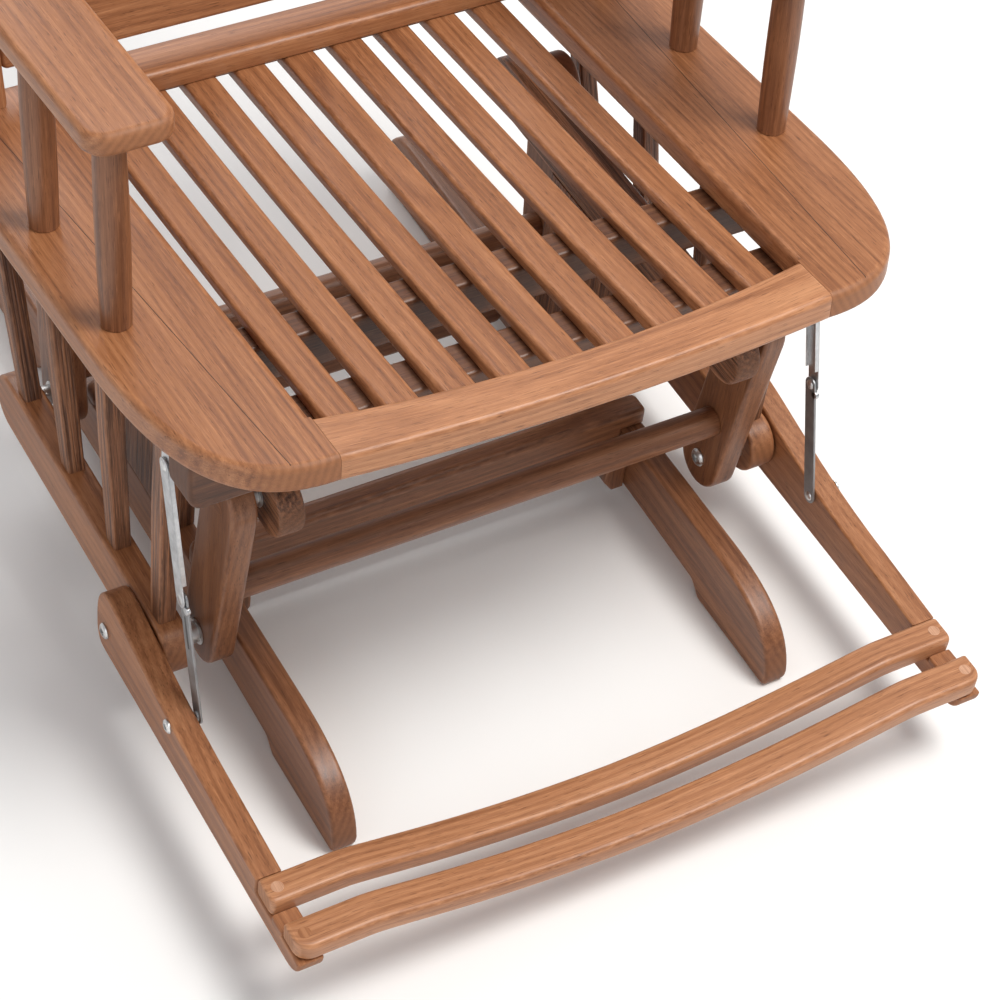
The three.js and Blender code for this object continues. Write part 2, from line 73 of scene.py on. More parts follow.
def tilted_span(node, matrix, angle):
    """A node's reach in a tilted frame: (x0, x1), (y0, y1), (z0, z1), for a piece that is square to it."""
    low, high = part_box(node)
    c, s = math.cos(angle), math.sin(angle)
    origin = matrix.translation
    sides = [low.y - origin.y, high.y - origin.y, low.z - origin.z, high.z - origin.z]
    rows = [[c, 0, s, 0], [0, c, 0, s], [0, -s, c, 0], [-s, 0, 0, c]]
    y0, y1, z0, z1 = np.linalg.solve(np.array(rows), np.array(sides))
    return (low.x, high.x), (y0, y1), (z0, z1)


board_low, board_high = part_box("seat_board_right")
SEAT = tilted_frame(
    board_low.y + NOSE * math.cos(SEAT_TILT) + (BOARD_T - BOARD_EDGE) * math.sin(SEAT_TILT),
    board_high.z - (NOSE - BOARD_EDGE) * math.sin(SEAT_TILT),
    SEAT_TILT,
)
back_foot_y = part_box("back_stile_right")[0].y
back_foot_v = (back_foot_y - SEAT.translation.y) / math.cos(SEAT_TILT)
BACK = tilted_frame(back_foot_y, SEAT.translation.z - back_foot_v * math.sin(SEAT_TILT), BACK_LEAN)


# ---------- outlines ----------
def arc(cx, cy, r, start, end, steps=8):
    """Points of a circular arc, angles in degrees."""
    angles = [math.radians(start + (end - start) * i / steps) for i in range(steps + 1)]
    return [(cx + r * math.cos(a), cy + r * math.sin(a)) for a in angles]


def curve(p0, p1, p2, p3, steps=14):
    """Points of a cubic Bezier curve."""
    points = []
    for i in range(steps + 1):
        t = i / steps
        weights = ((1 - t) ** 3, 3 * t * (1 - t) ** 2, 3 * t * t * (1 - t), t ** 3)
        points.append(tuple(sum(w * p[k] for w, p in zip(weights, (p0, p1, p2, p3))) for k in (0, 1)))
    return points


def rectangle(x0, x1, y0, y1, r=2 * MM):
    """A rectangle with rounded corners."""
    return (arc(x0 + r, y0 + r, r, 180, 270, 4) + arc(x1 - r, y0 + r, r, 270, 360, 4)
            + arc(x1 - r, y1 - r, r, 0, 90, 4) + arc(x0 + r, y1 - r, r, 90, 180, 4))


def stadium(a, b, r, steps=18):
    """A bar with round ends centred on two points."""
    turn = math.degrees(math.atan2(b[1] - a[1], b[0] - a[0]))
    return arc(*b, r, turn - 90, turn + 90, steps) + arc(*a, r, turn + 90, turn + 270, steps)


def circle(cx, cy, r, steps=28):
    return arc(cx, cy, r, 0, 360 - 360 / steps, steps - 1)


def tidy(points, band):
    """The outline counter-clockwise, without doubled points, with spare points band away from each corner."""
    kept = []
    for p in points:
        if not kept or math.dist(p, kept[-1]) > 0.05 * MM:
            kept.append(p)
    if math.dist(kept[0], kept[-1]) <= 0.05 * MM:
        kept.pop()
    area = sum(a[0] * b[1] - b[0] * a[1] for a, b in zip(kept, kept[1:] + kept[:1]))
    if area < 0:
        kept.reverse()
    full = []
    for a, b in zip(kept, kept[1:] + kept[:1]):
        full.append(a)
        length = math.dist(a, b)
        if length > 3 * band:
            for t in (band / length, 1 - band / length):
                full.append((a[0] + (b[0] - a[0]) * t, a[1] + (b[1] - a[1]) * t))
    return np.array(full)


def inward(points):
    """For each outline point, the step that insets the outline by one unit, and how sharply it turns there;
    with them the radius of the outline's tightest rounding, which no inset may pass."""
    before = points - np.roll(points, 1, axis=0)
    after = np.roll(points, -1, axis=0) - points
    length_before = np.linalg.norm(before, axis=1, keepdims=True)
    length_after = np.linalg.norm(after, axis=1, keepdims=True)
    d0, d1 = before / length_before, after / length_after
    n0 = np.stack([-d0[:, 1], d0[:, 0]], 1)
    n1 = np.stack([-d1[:, 1], d1[:, 0]], 1)
    middle = n0 + n1
    middle /= np.maximum(np.linalg.norm(middle, axis=1, keepdims=True), 1e-9)
    stretch = np.maximum(np.sum(middle * n0, axis=1, keepdims=True), 0.35)
    turn = np.arcsin(np.clip(d0[:, 0] * d1[:, 1] - d0[:, 1] * d1[:, 0], -1, 1))
    bend = np.abs(turn) / np.maximum((length_before + length_after)[:, 0] / 2, 1e-6)
    rounding = (turn > math.radians(3)) & (turn < math.radians(50))
    tightest = 1 / bend[rounding].max() if rounding.any() else math.inf
    return middle / stretch, np.clip(bend * 6 * MM - 0.25, 0, 1), tightest


# ---------- prisms ----------
PLANES = {
    "x": lambda a, b, c: (c, a, b),      # an outline in (y, z), pushed out along x
    "y": lambda a, b, c: (a, c, b),      # an outline in (x, z), pushed out along y
    "z": lambda a, b, c: (a, b, c),      # an outline in (x, y), pushed out along z
}
IN_OUTLINE = {"x": "yz", "y": "xz", "z": "xy"}
GRAIN_AXES = {"x": (0, 1, 2), "y": (1, 0, 2), "z": (2, 0, 1)}
THIN = 0.1 * MM                  # a flat band beside an edge that is narrower than this is left out
EDGE_WEAR = 0.9


def rings_along(c0, c1, edge, soft, stations):
    """A prism's rings from cap to cap, each as its inset, its place along the axis and its wear: a cap, a
    rounded edge, a flat band, the stations between, and the same again in reverse."""
    quarter = [math.pi / 2 * k / 3 for k in range(4)]
    start, end = c0 + edge + soft, c1 - edge - soft
    rings = [(edge + soft, c0, 0.0)]
    rings += [(edge * (1 - math.sin(q)), c0 + edge * (1 - math.cos(q)), EDGE_WEAR) for q in quarter]
    if soft > THIN:
        rings.append((0, start, 0.0))
    rings += [(0, start + (end - start) * (i + 1) / (stations + 1), 0.0) for i in range(stations)]
    if soft > THIN:
        rings.append((0, end, 0.0))
    rings += [(edge * (1 - math.sin(q)), c1 - edge * (1 - math.cos(q)), EDGE_WEAR) for q in reversed(quarter)]
    rings.append((edge + soft, c1, 0.0))
    return rings


def facing_grain(step, axis, grain):
    """For each outline point, from 0 to 1, how far the side there cuts across the grain."""
    if grain == axis:
        return np.zeros(len(step))
    along = np.abs(step[:, IN_OUTLINE[axis].index(grain)])
    facing = along / np.maximum(np.linalg.norm(step, axis=1), 1e-9)
    return np.clip((facing - 0.75) / 0.2, 0, 1)


def ring_faces(rings, count):
    """The faces between a number of rings with count points each, and the two caps."""
    faces = []
    for r in range(rings - 1):
        for i in range(count):
            j = (i + 1) % count
            faces.append((r * count + i, r * count + j, (r + 1) * count + j, (r + 1) * count + i))
    faces.append(tuple(range(count))[::-1])
    faces.append(tuple(range((rings - 1) * count, rings * count)))
    return faces


def prism(name, outline, span, axis, grain="x", edge=2 * MM, matrix=None, stations=0, bend=None, soft=3 * MM,
          flush=None):
    """A mesh object: the outline pushed out along axis over span, its edges rounded by edge. The rounding
    leaves the outline's first coordinate alone where flush(a, b) is true, so that a joint stays closed."""
    points = tidy(outline, edge + soft + 1 * MM)
    step, corner, tightest = inward(points)
    for i, (a, b) in enumerate(points):
        if flush and flush(a, b):
            step[i] = (0, math.copysign(min(abs(step[i, 1]), 1), step[i, 1]))
            corner[i] = 0
    c0, c1 = min(span), max(span)
    edge = min(edge, (c1 - c0) / 2.2, tightest * 0.95)
    soft = max(min(soft, ((c1 - c0) / 2 - edge) * 0.8, tightest * 0.98 - edge), 0.02 * MM)
    rings = rings_along(c0, c1, edge, soft, stations)

    place = PLANES[axis]
    facing_ends = facing_grain(step, axis, grain)
    cap_ends = 1.0 if grain == axis else 0.0
    verts, worn, ends = [], [], []
    for inset, c, weight in rings:
        ring = points + step * inset
        on_cap = inset > 0.99 * edge
        for (a, b), sharp, end in zip(ring, corner, facing_ends):
            verts.append(place(a, b, c))
            worn.append(0 if inset > 1.01 * edge else max(weight, sharp))
            ends.append(cap_ends if on_cap else end)
    faces = ring_faces(len(rings), len(points))
    if axis == "y":
        faces = [face[::-1] for face in faces]

    order = GRAIN_AXES[grain]
    offset = (random.uniform(0, 3), random.uniform(-0.03, 0.03), random.uniform(0.02, 0.07))
    grained = [tuple(v[order[k]] + offset[k] for k in range(3)) for v in verts]
    if bend:
        verts = [bend(*v) for v in verts]
    return finish_mesh(name, verts, faces, grained, worn, ends, matrix)


def finish_mesh(name, verts, faces, grained, worn, ends, matrix):
    """The mesh object with its grain, edge-wear and end-grain attributes, smooth but for its sharp edges."""
    mesh = bpy.data.meshes.new(name)
    mesh.from_pydata([tuple(v) for v in verts], [], faces)
    mesh.validate()
    mesh.update()
    mesh.attributes.new("grain", "FLOAT_VECTOR", "POINT").data.foreach_set(
        "vector", np.array(grained, np.float32).ravel())
    mesh.attributes.new("worn", "FLOAT", "POINT").data.foreach_set("value", np.array(worn, np.float32))
    mesh.attributes.new("ends", "FLOAT", "POINT").data.foreach_set("value", np.array(ends, np.float32))
    mesh.shade_smooth()
    mesh.set_sharp_from_angle(angle=math.radians(38))
    obj = bpy.data.objects.new(name, mesh)
    if matrix is not None:
        obj.matrix_world = matrix
    bpy.context.scene.collection.objects.link(obj)
    return obj


def turned(name, profile, x_from, sign, y, z, steps=32, sides=None):
    """A turned steel piece along x. The profile is (distance outwards from x_from, radius); sides gives
    the number of flats of a ring, by its place in the profile, where it isn't round."""
    verts = []
    sides = sides or {}
    for k, (distance, radius) in enumerate(profile):
        for i in range(steps):
            a = 2 * math.pi * i / steps
            r = radius
            if k in sides:
                sector = 2 * math.pi / sides[k]
                r = radius * math.cos(sector / 2) / math.cos((a % sector) - sector / 2)
            verts.append((sign * (x_from + distance), y + r * math.cos(a), z + r * math.sin(a)))
    faces = ring_faces(len(profile), steps)
    if sign < 0:
        faces = [face[::-1] for face in faces]
    grained = [(v[1], v[2], v[0]) for v in verts]
    none = [0.0] * len(verts)
    return finish_mesh(name, verts, faces, grained, none, none, None)


# ---------- materials ----------
def new_material(name):
    material = bpy.data.materials.new(name)
    material.use_nodes = True
    tree = material.node_tree
    return material, tree, tree.nodes["Principled BSDF"]


def node(tree, kind, values=None, **settings):
    made = tree.nodes.new(kind)
    for key, value in settings.items():
        setattr(made, key, value)
    for key, value in (values or {}).items():
        made.inputs[key].default_value = value
    return made


def math_node(tree, operation, a, b=None, clamp=False):
    made = tree.nodes.new("ShaderNodeMath")
    made.operation = operation
    made.use_clamp = clamp
    for socket, value in zip(made.inputs, (a, b)):
        if value is None:
            continue
        if isinstance(value, (int, float)):
            socket.default_value = value
        else:
            tree.links.new(value, socket)
    return made.outputs[0]


def ramp(tree, source, stops):
    """A colour ramp; each stop is (place, colour)."""
    made = tree.nodes.new("ShaderNodeValToRGB")
    elements = made.color_ramp.elements
    while len(elements) < len(stops):
        elements.new(0.5)
    for element, (place, colour) in zip(elements, stops):
        element.position = place
        element.color = (*colour, 1)
    tree.links.new(source, made.inputs[0])
    return made.outputs[0]


def mixed(tree, factor, a, b, blend="MIX"):
    made = tree.nodes.new("ShaderNodeMix")
    made.data_type = "RGBA"
    made.blend_type = blend
    for socket, value in ((made.inputs[0], factor), (made.inputs[6], a), (made.inputs[7], b)):
        if isinstance(value, (int, float)):
            socket.default_value = value
        elif isinstance(value, tuple):
            socket.default_value = (*value, 1)
        else:
            tree.links.new(value, socket)
    return made.outputs[2]


def noise(tree, vector, scale, detail=3.0, rough=0.5):
    """Noise in the grain's coordinates, stretched along the grain by scale = (along, across, through)."""
    mapping = node(tree, "ShaderNodeMapping", {"Scale": scale})
    tree.links.new(vector, mapping.inputs["Vector"])
    made = node(tree, "ShaderNodeTexNoise", {"Scale": 1.0, "Detail": detail, "Roughness": rough})
    tree.links.new(mapping.outputs[0], made.inputs["Vector"])
    return made.outputs["Fac"]


def growth_rings(tree, grain):
    """Rings round a wandering centre line below the piece, from 0 in the early wood to 1 in the late wood."""
    split = node(tree, "ShaderNodeSeparateXYZ")
    tree.links.new(grain, split.inputs[0])
    drift = math_node(tree, "MULTIPLY", noise(tree, grain, (1.6, 5, 5), 2), 0.05)
    across = math_node(tree, "ADD", split.outputs[1], drift)
    through = math_node(tree, "ADD", split.outputs[2], drift)
    squares = [math_node(tree, "MULTIPLY", value, value) for value in (across, through)]
    radius = math_node(tree, "SQRT", math_node(tree, "ADD", *squares))
    wave = math_node(tree, "SINE", math_node(tree, "MULTIPLY", radius, 900.0))
    return math_node(tree, "ADD", math_node(tree, "MULTIPLY", wave, 0.5), 0.5, clamp=True)


def shaded(tree, share, colour, shade):
    """The colour, a share of it multiplied by the shade."""
    return mixed(tree, share, colour, mixed(tree, 1.0, colour, shade, "MULTIPLY"))


def add_bump(tree, shader, height, strength, distance):
    bump = node(tree, "ShaderNodeBump", {"Strength": strength, "Distance": distance})
    tree.links.new(height, bump.inputs["Height"])
    tree.links.new(bump.outputs[0], shader.inputs["Normal"])


def wood(name, light, middle, dark, gloss=0.40, figure=1.0, brushed=0.0):
    """Stained hardwood: streaks, soft growth rings, fine fibres, open pores, end grain and worn edges."""
    material, tree, shader = new_material(name)
    grain = node(tree, "ShaderNodeAttribute", attribute_name="grain").outputs["Vector"]
    worn = node(tree, "ShaderNodeAttribute", attribute_name="worn").outputs["Fac"]
    ends = node(tree, "ShaderNodeAttribute", attribute_name="ends").outputs["Fac"]

    broad = noise(tree, grain, (2.2, 55, 55), 4, 0.55)
    streak = noise(tree, grain, (6, 300, 300), 4, 0.6)
    fibre = noise(tree, grain, (28, 1500, 1500), 2, 0.6)
    speck = noise(tree, grain, (60, 1100, 1100), 2, 0.5)
    ring = growth_rings(tree, grain)

    tone = math_node(tree, "MULTIPLY", broad, 0.42)
    tone = math_node(tree, "ADD", tone, math_node(tree, "MULTIPLY", streak, 0.48))
    tone = math_node(tree, "ADD", tone, math_node(tree, "MULTIPLY", ring, 0.09 * figure), clamp=True)
    colour = ramp(tree, tone, [(0.32, dark), (0.50, middle), (0.68, light)])
    fibre_shade = ramp(tree, fibre, [(0.34, (0.74, 0.70, 0.67)), (0.56, (1, 1, 1))])
    colour = shaded(tree, 0.75, colour, fibre_shade)
    pores = ramp(tree, speck, [(0.30, (0.30, 0.24, 0.20)), (0.38, (1, 1, 1))])
    colour = shaded(tree, 0.75, colour, pores)
    flecks = ramp(tree, noise(tree, grain, (45, 900, 900), 3, 0.6), [(0.58, (0, 0, 0)), (0.68, (1, 1, 1))])
    colour = mixed(tree, math_node(tree, "MULTIPLY", flecks, 0.35), colour, tuple(c * 1.35 for c in light))

    comb = noise(tree, grain, (9, 340, 340), 3, 0.7)
    if brushed:
        grooves = [(0.38, (0.42, 0.36, 0.32)), (0.50, (0.95, 0.93, 0.90)), (0.66, (1.5, 1.45, 1.4))]
        colour = shaded(tree, brushed, colour, ramp(tree, comb, grooves))

    pale = tuple(min(1.0, c * 1.25) for c in light)
    edge_noise = noise(tree, grain, (60, 200, 200), 3, 0.6)
    wear = math_node(tree, "MULTIPLY", worn, ramp(tree, edge_noise, [(0.44, (0, 0, 0)), (0.68, (1, 1, 1))]))
    colour = mixed(tree, math_node(tree, "MULTIPLY", wear, 0.45), colour, pale)
    end_tone = mixed(tree, ring, tuple(c * 0.74 for c in middle), tuple(c * 0.88 for c in middle))
    colour = mixed(tree, math_node(tree, "MULTIPLY", ends, 0.7), colour, end_tone)
    tree.links.new(colour, shader.inputs["Base Color"])

    rough = math_node(tree, "ADD", math_node(tree, "MULTIPLY", streak, 0.22), gloss - 0.11)
    rough = math_node(tree, "ADD", rough, math_node(tree, "MULTIPLY", ends, 0.2), clamp=True)
    tree.links.new(rough, shader.inputs["Roughness"])

    height = math_node(tree, "MULTIPLY", fibre, 0.35)
    height = math_node(tree, "ADD", height, math_node(tree, "MULTIPLY", speck, 0.35))
    height = math_node(tree, "ADD", height, math_node(tree, "MULTIPLY", comb, 0.2 + 2.2 * brushed))
    add_bump(tree, shader, height, 0.30 + 0.30 * brushed, 0.0005 + 0.0009 * brushed)
    shader.inputs["Specular IOR Level"].default_value = 0.5
    return material


def metal(name, colour, roughness, spangle=0.0, brush=0.0):
    """Zinc-coated or brushed steel, with faint stains, spangle and fine scratches."""
    material, tree, shader = new_material(name)
    grain = node(tree, "ShaderNodeAttribute", attribute_name="grain").outputs["Vector"]
    stain = noise(tree, grain, (60, 60, 60), 4, 0.6)
    scratch = noise(tree, grain, (60, 2600, 2600), 2, 0.6)
    base = ramp(tree, stain, [(0.30, tuple(c * 0.72 for c in colour)), (0.62, colour)])
    if spangle:
        cells = node(tree, "ShaderNodeTexVoronoi", {"Scale": 240.0})
        tree.links.new(grain, cells.inputs["Vector"])
        flake = ramp(tree, cells.outputs["Distance"], [(0.0, (1, 1, 1)), (0.8, (0.78, 0.79, 0.80))])
        base = shaded(tree, spangle, base, flake)
    tree.links.new(base, shader.inputs["Base Color"])
    uneven = math_node(tree, "ADD", stain, math_node(tree, "MULTIPLY", scratch, brush))
    rough = math_node(tree, "ADD", math_node(tree, "MULTIPLY", uneven, 0.25), roughness - 0.15, clamp=True)
    tree.links.new(rough, shader.inputs["Roughness"])
    shader.inputs["Metallic"].default_value = 1.0
    add_bump(tree, shader, scratch, 0.2, 0.0002)
    return material


WOOD = wood("teak", (0.45, 0.200, 0.088), (0.335, 0.132, 0.052), (0.190, 0.066, 0.025))
# a paler copy of the teak: painted light, for the front rail and the footrest bars, which face the light
WOOD_PAINTED_LIGHT = wood(
    "teak_painted_light", (0.53, 0.250, 0.118), (0.425, 0.182, 0.080), (0.270, 0.104, 0.042), figure=1.4)
# a darker copy of the teak: painted shade, for the parts down in the chair's shadow (runners, cross panels,
# corner blocks, links, plugs, stretchers and posts)
WOOD_PAINTED_SHADE = wood("teak_painted_shade", (0.33, 0.142, 0.064), (0.230, 0.090, 0.038), (0.122, 0.043, 0.018))
# brushed teak, its tones darkened as painted shade, for the uprights, top rails and lower spindles under the
# seat
WOOD_BRUSHED_SHADE = wood(
    "teak_brushed_painted_shade", (0.37, 0.170, 0.084), (0.225, 0.094, 0.044), (0.085, 0.031, 0.014),
    gloss=0.46, brushed=1.0)
WOOD_SHADE = wood("teak_shaded", (0.190, 0.082, 0.038), (0.125, 0.048, 0.022), (0.066, 0.024, 0.011))
PLUG = wood("teak_plug", (0.66, 0.38, 0.24), (0.56, 0.30, 0.18), (0.42, 0.21, 0.12))
ZINC = metal("zinc_plated", (0.80, 0.80, 0.79), 0.30, brush=0.5)
GALVANISED = metal("galvanised", (0.74, 0.75, 0.76), 0.36, spangle=0.5, brush=0.5)
STRIP_STEEL = metal("strip_steel", (0.40, 0.41, 0.42), 0.40, brush=0.6)
# near-black steel: painted shadow inside the lower strips' slots
SLOT_SHADOW_STEEL = metal("painted_slot_shadow", (0.14, 0.14, 0.14), 0.5)
GLUE, _, glue_shader = new_material("glue_line")
glue_shader.inputs["Base Color"].default_value = (0.06, 0.028, 0.018, 1)
glue_shader.inputs["Roughness"].default_value = 0.6


def dress(obj, material, body, *nodes):
    """Gives a piece its material, the body it rides on and the CAD nodes it stands for."""
    obj.data.materials.append(material)
    if nodes:
        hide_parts(*nodes)
    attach(obj, body)
    return obj


def on_side(sign, inner, outer):
    """A range measured outwards from the middle of the chair."""
    return (inner, outer) if sign > 0 else (-outer, -inner)


# ---------- base ----------
FRONT_FOOT, REAR_FOOT = 123 * MM, 120 * MM       # how far the flat feet reach in from the ends
ARCH, ARCH_RISE, ARCH_SLOPE = 14 * MM, 8 * MM, 19 * MM
HEEL_R = 46 * MM
NOSE_SWEEP, NOSE_TIP, NOSE_R = 119 * MM, 14 * MM, 8 * MM


def runner_outline(low, high):
    """Side view of a runner: flat feet, a shallow arch between them, a swept nose and a round heel."""
    front_foot, rear_foot = low.y + FRONT_FOOT, high.y - REAR_FOOT
    arch_front, arch_rear = front_foot + ARCH_SLOPE, rear_foot - ARCH_SLOPE
    middle = (front_foot + rear_foot) / 2
    ease, crown = 2 * MM, 60 * MM
    points = [(low.y + NOSE_R, 0), (front_foot - 4 * MM, 0)]
    points += curve((front_foot, 0), (front_foot + 5 * MM, 0), (arch_front - 6 * MM, ARCH),
                    (arch_front, ARCH), 6)
    points += curve((arch_front + ease, ARCH), (middle - crown, ARCH + ARCH_RISE),
                    (middle + crown, ARCH + ARCH_RISE), (arch_rear, ARCH), 12)
    points += curve((arch_rear + ease, ARCH), (rear_foot - 6 * MM, ARCH), (rear_foot - 5 * MM, 0),
                    (rear_foot, 0), 6)
    points += curve((high.y - HEEL_R / 2, 0), (high.y - 8 * MM, 0), (high.y, 14 * MM),
                    (high.y, high.z - HEEL_R), 8)
    points += curve((high.y, high.z - HEEL_R), (high.y, high.z - 12 * MM), (high.y - 18 * MM, high.z),
                    (high.y - HEEL_R, high.z), 8)
    nose_start = low.y + NOSE_SWEEP
    points += curve((nose_start, high.z), (nose_start - 65 * MM, high.z), (low.y + NOSE_R, 64 * MM),
                    (low.y, NOSE_TIP), 16)
    points += curve((low.y, NOSE_TIP), (low.y, 6 * MM), (low.y + 2 * MM, 0), (low.y + NOSE_R, 0), 5)
    return points


for side, sign in SIDES:
    low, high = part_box(f"runner_{side}")
    runner = prism(f"runner_{side}_wood", runner_outline(low, high), (low.x, high.x), "x", "y", edge=3.5 * MM)
    dress(runner, WOOD_PAINTED_SHADE, "base", f"runner_{side}")

    low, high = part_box(f"upright_{side}")
    outline = rectangle(low.x, high.x, low.y, high.y, 3 * MM)
    upright = prism(f"upright_{side}_wood", outline, (low.z, high.z), "z", "z", edge=0.6 * MM)
    dress(upright, WOOD_BRUSHED_SHADE, "base", f"upright_{side}")

    low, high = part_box(f"top_rail_{side}")
    r = (high.z - low.z) / 2
    middle_z = (high.z + low.z) / 2
    outline = stadium((low.y + r, middle_z), (high.y - r, middle_z), r)
    rail = prism(f"top_rail_{side}_wood", outline, (low.x, high.x), "x", "y", edge=3 * MM)
    dress(rail, WOOD_BRUSHED_SHADE, "base", f"top_rail_{side}")

for name in ("front_cross_panel", "rear_cross_panel"):
    low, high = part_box(name)
    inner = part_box("runner_right")[0].x - 0.3 * MM
    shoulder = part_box("runner_right")[1].z + 0.3 * MM
    r = 9 * MM
    outline = (
        arc(-inner + r, low.z + r, r, 180, 270, 4) + arc(inner - r, low.z + r, r, 270, 360, 4)
        + [(inner, shoulder), (high.x, shoulder)]
        + arc(high.x - r, high.z - r, r, 0, 90, 4) + arc(low.x + r, high.z - r, r, 90, 180, 4)
        + [(low.x, shoulder), (-inner, shoulder)]
    )
    panel = prism(f"{name}_wood", outline, (low.y, high.y), "y", "x", edge=6 * MM, soft=2 * MM)
    dress(panel, WOOD_PAINTED_SHADE, "base", name)


# a glued block in the corner between the front cross panel and each runner
panel_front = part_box("front_cross_panel")[0].y
runner_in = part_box("runner_right")[0].x
BLOCK = {"wide": 24 * MM, "deep": 17 * MM, "low": 17 * MM, "high": 50 * MM}
for side, sign in SIDES:
    x_out, x_in = runner_in - 0.3 * MM, runner_in - BLOCK["wide"]
    r = 7 * MM
    points = [(x_out, BLOCK["low"]), (x_out, BLOCK["high"])]
    points += arc(x_in + r, BLOCK["high"] - r, r, 90, 180, 5)
    points += [(x_in, BLOCK["low"] + 14 * MM), (x_in + 10 * MM, BLOCK["low"])]
    block = prism(f"corner_block_{side}", [(sign * x, z) for x, z in points],
                  (panel_front - BLOCK["deep"], panel_front - 0.2 * MM), "y", "z", edge=2 * MM)
    dress(block, WOOD_PAINTED_SHADE, "base")


# ---------- swing links, stretchers and pivot hardware ----------
def hex_bolt(name, face_x, sign, y, z, body, radius, height):
    """A button head with a six-sided socket, standing on a face at face_x; sign is the way it points."""
    socket = radius * 0.5
    profile = [
        (0, radius * 0.96), (height * 0.35, radius), (height * 0.72, radius * 0.88), (height, radius * 0.62),
        (height, socket), (height * 0.35, socket * 0.96), (height * 0.35, socket * 0.2),
    ]
    head = turned(name, profile, face_x * sign, sign, y, z, 36, {4: 6, 5: 6})
    dress(head, ZINC, body)
    return head


def washer(name, x0, x1, sign, y, z, body, radius):
    """A flat ring with eased edges between two faces."""
    bevel = min(0.4 * MM, (x1 - x0) / 4)
    profile = [(0, radius - bevel), (bevel, radius), (x1 - x0 - bevel, radius), (x1 - x0, radius - bevel)]
    ring = turned(name, profile, x0, sign, y, z, 36)
    dress(ring, ZINC, body)


LINK_R = 30 * MM
RING_R, RING_T = 13 * MM, 2 * MM
TOP_BEARING_R, LOW_BEARING_R = 9 * MM, 10 * MM
PLUG_R, PLUG_STAND = 8 * MM, 0.5 * MM
rail_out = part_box("top_rail_right")[1].x
low_rail_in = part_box("lower_frame_right")[0].x


def middle_of(node_name):
    """The middle of a node as seen from the side: (y, z)."""
    low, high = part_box(node_name)
    return (low.y + high.y) / 2, (low.z + high.z) / 2


def swing_link(end, side, top, foot):
    """A link between its two pivots, with round ends that reach as far as the node does."""
    node_name = f"{end}_link_{side}"
    low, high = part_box(node_name)
    reach = high.z - top[1] - LINK_R
    along = Vector((foot[0] - top[0], foot[1] - top[1])).normalized() * reach
    start, stop = (top[0] - along.x, top[1] - along.y), (foot[0] + along.x, foot[1] + along.y)
    link = prism(f"{node_name}_wood", stadium(start, stop, LINK_R), (low.x, high.x), "x", "z", edge=3.5 * MM)
    dress(link, WOOD_PAINTED_SHADE, f"{end}_swing", node_name)


def top_pivot(end, side, sign, inner, outer, top):
    """A wooden plug over the upper bolt's head, and the rings between the top rail and the link."""
    span = on_side(sign, outer - 1 * MM, outer + PLUG_STAND)
    plug = prism(f"{end}_top_plug_{side}", circle(*top, PLUG_R), span, "x", "y", edge=0.3 * MM, soft=0.2 * MM)
    dress(plug, WOOD_PAINTED_SHADE, "base", f"{end}_top_bolt_{side}")
    ring_end, ring_start = rail_out + RING_T, inner - RING_T
    washer(f"{end}_top_ring_{side}", rail_out, ring_end, sign, *top, "base", RING_R)
    washer(f"{end}_top_bearing_{side}", ring_end, ring_start, sign, *top, "base", TOP_BEARING_R)
    washer(f"{end}_top_ring_outer_{side}", ring_start, inner - 0.2 * MM, sign, *top, "base", RING_R)


def low_pivot(end, side, sign, inner, outer, foot):
    """The lower bolt's head inside the link, and the rings between the link and the lower rail."""
    head = hex_bolt(f"{end}_low_head_{side}", sign * inner, -sign, *foot, "seat", 9.5 * MM, 4.6 * MM)
    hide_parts(f"{end}_low_bolt_{side}")
    ring_end, ring_start = outer + RING_T, low_rail_in - RING_T
    washer(f"{end}_low_ring_{side}", outer + 0.2 * MM, ring_end, sign, *foot, "seat", RING_R)
    washer(f"{end}_low_bearing_{side}", ring_end, ring_start, sign, *foot, "seat", LOW_BEARING_R)
    washer(f"{end}_low_ring_outer_{side}", ring_start, low_rail_in, sign, *foot, "seat", RING_R)


for end in ("front", "rear"):
    for side, sign in SIDES:
        inner, outer = sorted(abs(corner.x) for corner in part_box(f"{end}_link_{side}"))
        top, foot = middle_of(f"{end}_top_bolt_{side}"), middle_of(f"{end}_low_bolt_{side}")
        swing_link(end, side, top, foot)
        top_pivot(end, side, sign, inner, outer, top)
        low_pivot(end, side, sign, inner, outer, foot)

    low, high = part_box(f"{end}_stretcher")
    outline = circle((low.y + high.y) / 2, (low.z + high.z) / 2, (high.z - low.z) / 2, 36)
    stretcher = prism(f"{end}_stretcher_wood", outline, (low.x, high.x), "x", "x", edge=0.4 * MM)
    dress(stretcher, WOOD_PAINTED_SHADE, f"{end}_swing", f"{end}_stretcher")


# ---------- seat: side boards, rails, slats, beams ----------
def side_board_outline(sign, inner_front, inner_rear, outer, rear):
    """Plan of a side board: straight inside, a broad round front corner outside."""
    points = [(inner_front, 1 * MM), (inner_front, 0), (inner_front, -NOSE)]
    points += curve((inner_front + 10 * MM, -NOSE), (outer - 35 * MM, -NOSE + 3 * MM),
                    (outer - 4 * MM, 20 * MM), (outer - 3 * MM, 160 * MM), 26)
    points += arc(outer - 8 * MM, rear - 8 * MM, 8 * MM, 0, 90, 5)
    points += [(inner_rear + 4 * MM, rear), (inner_rear, rear - 4 * MM)]
    return [(sign * x, y) for x, y in points]


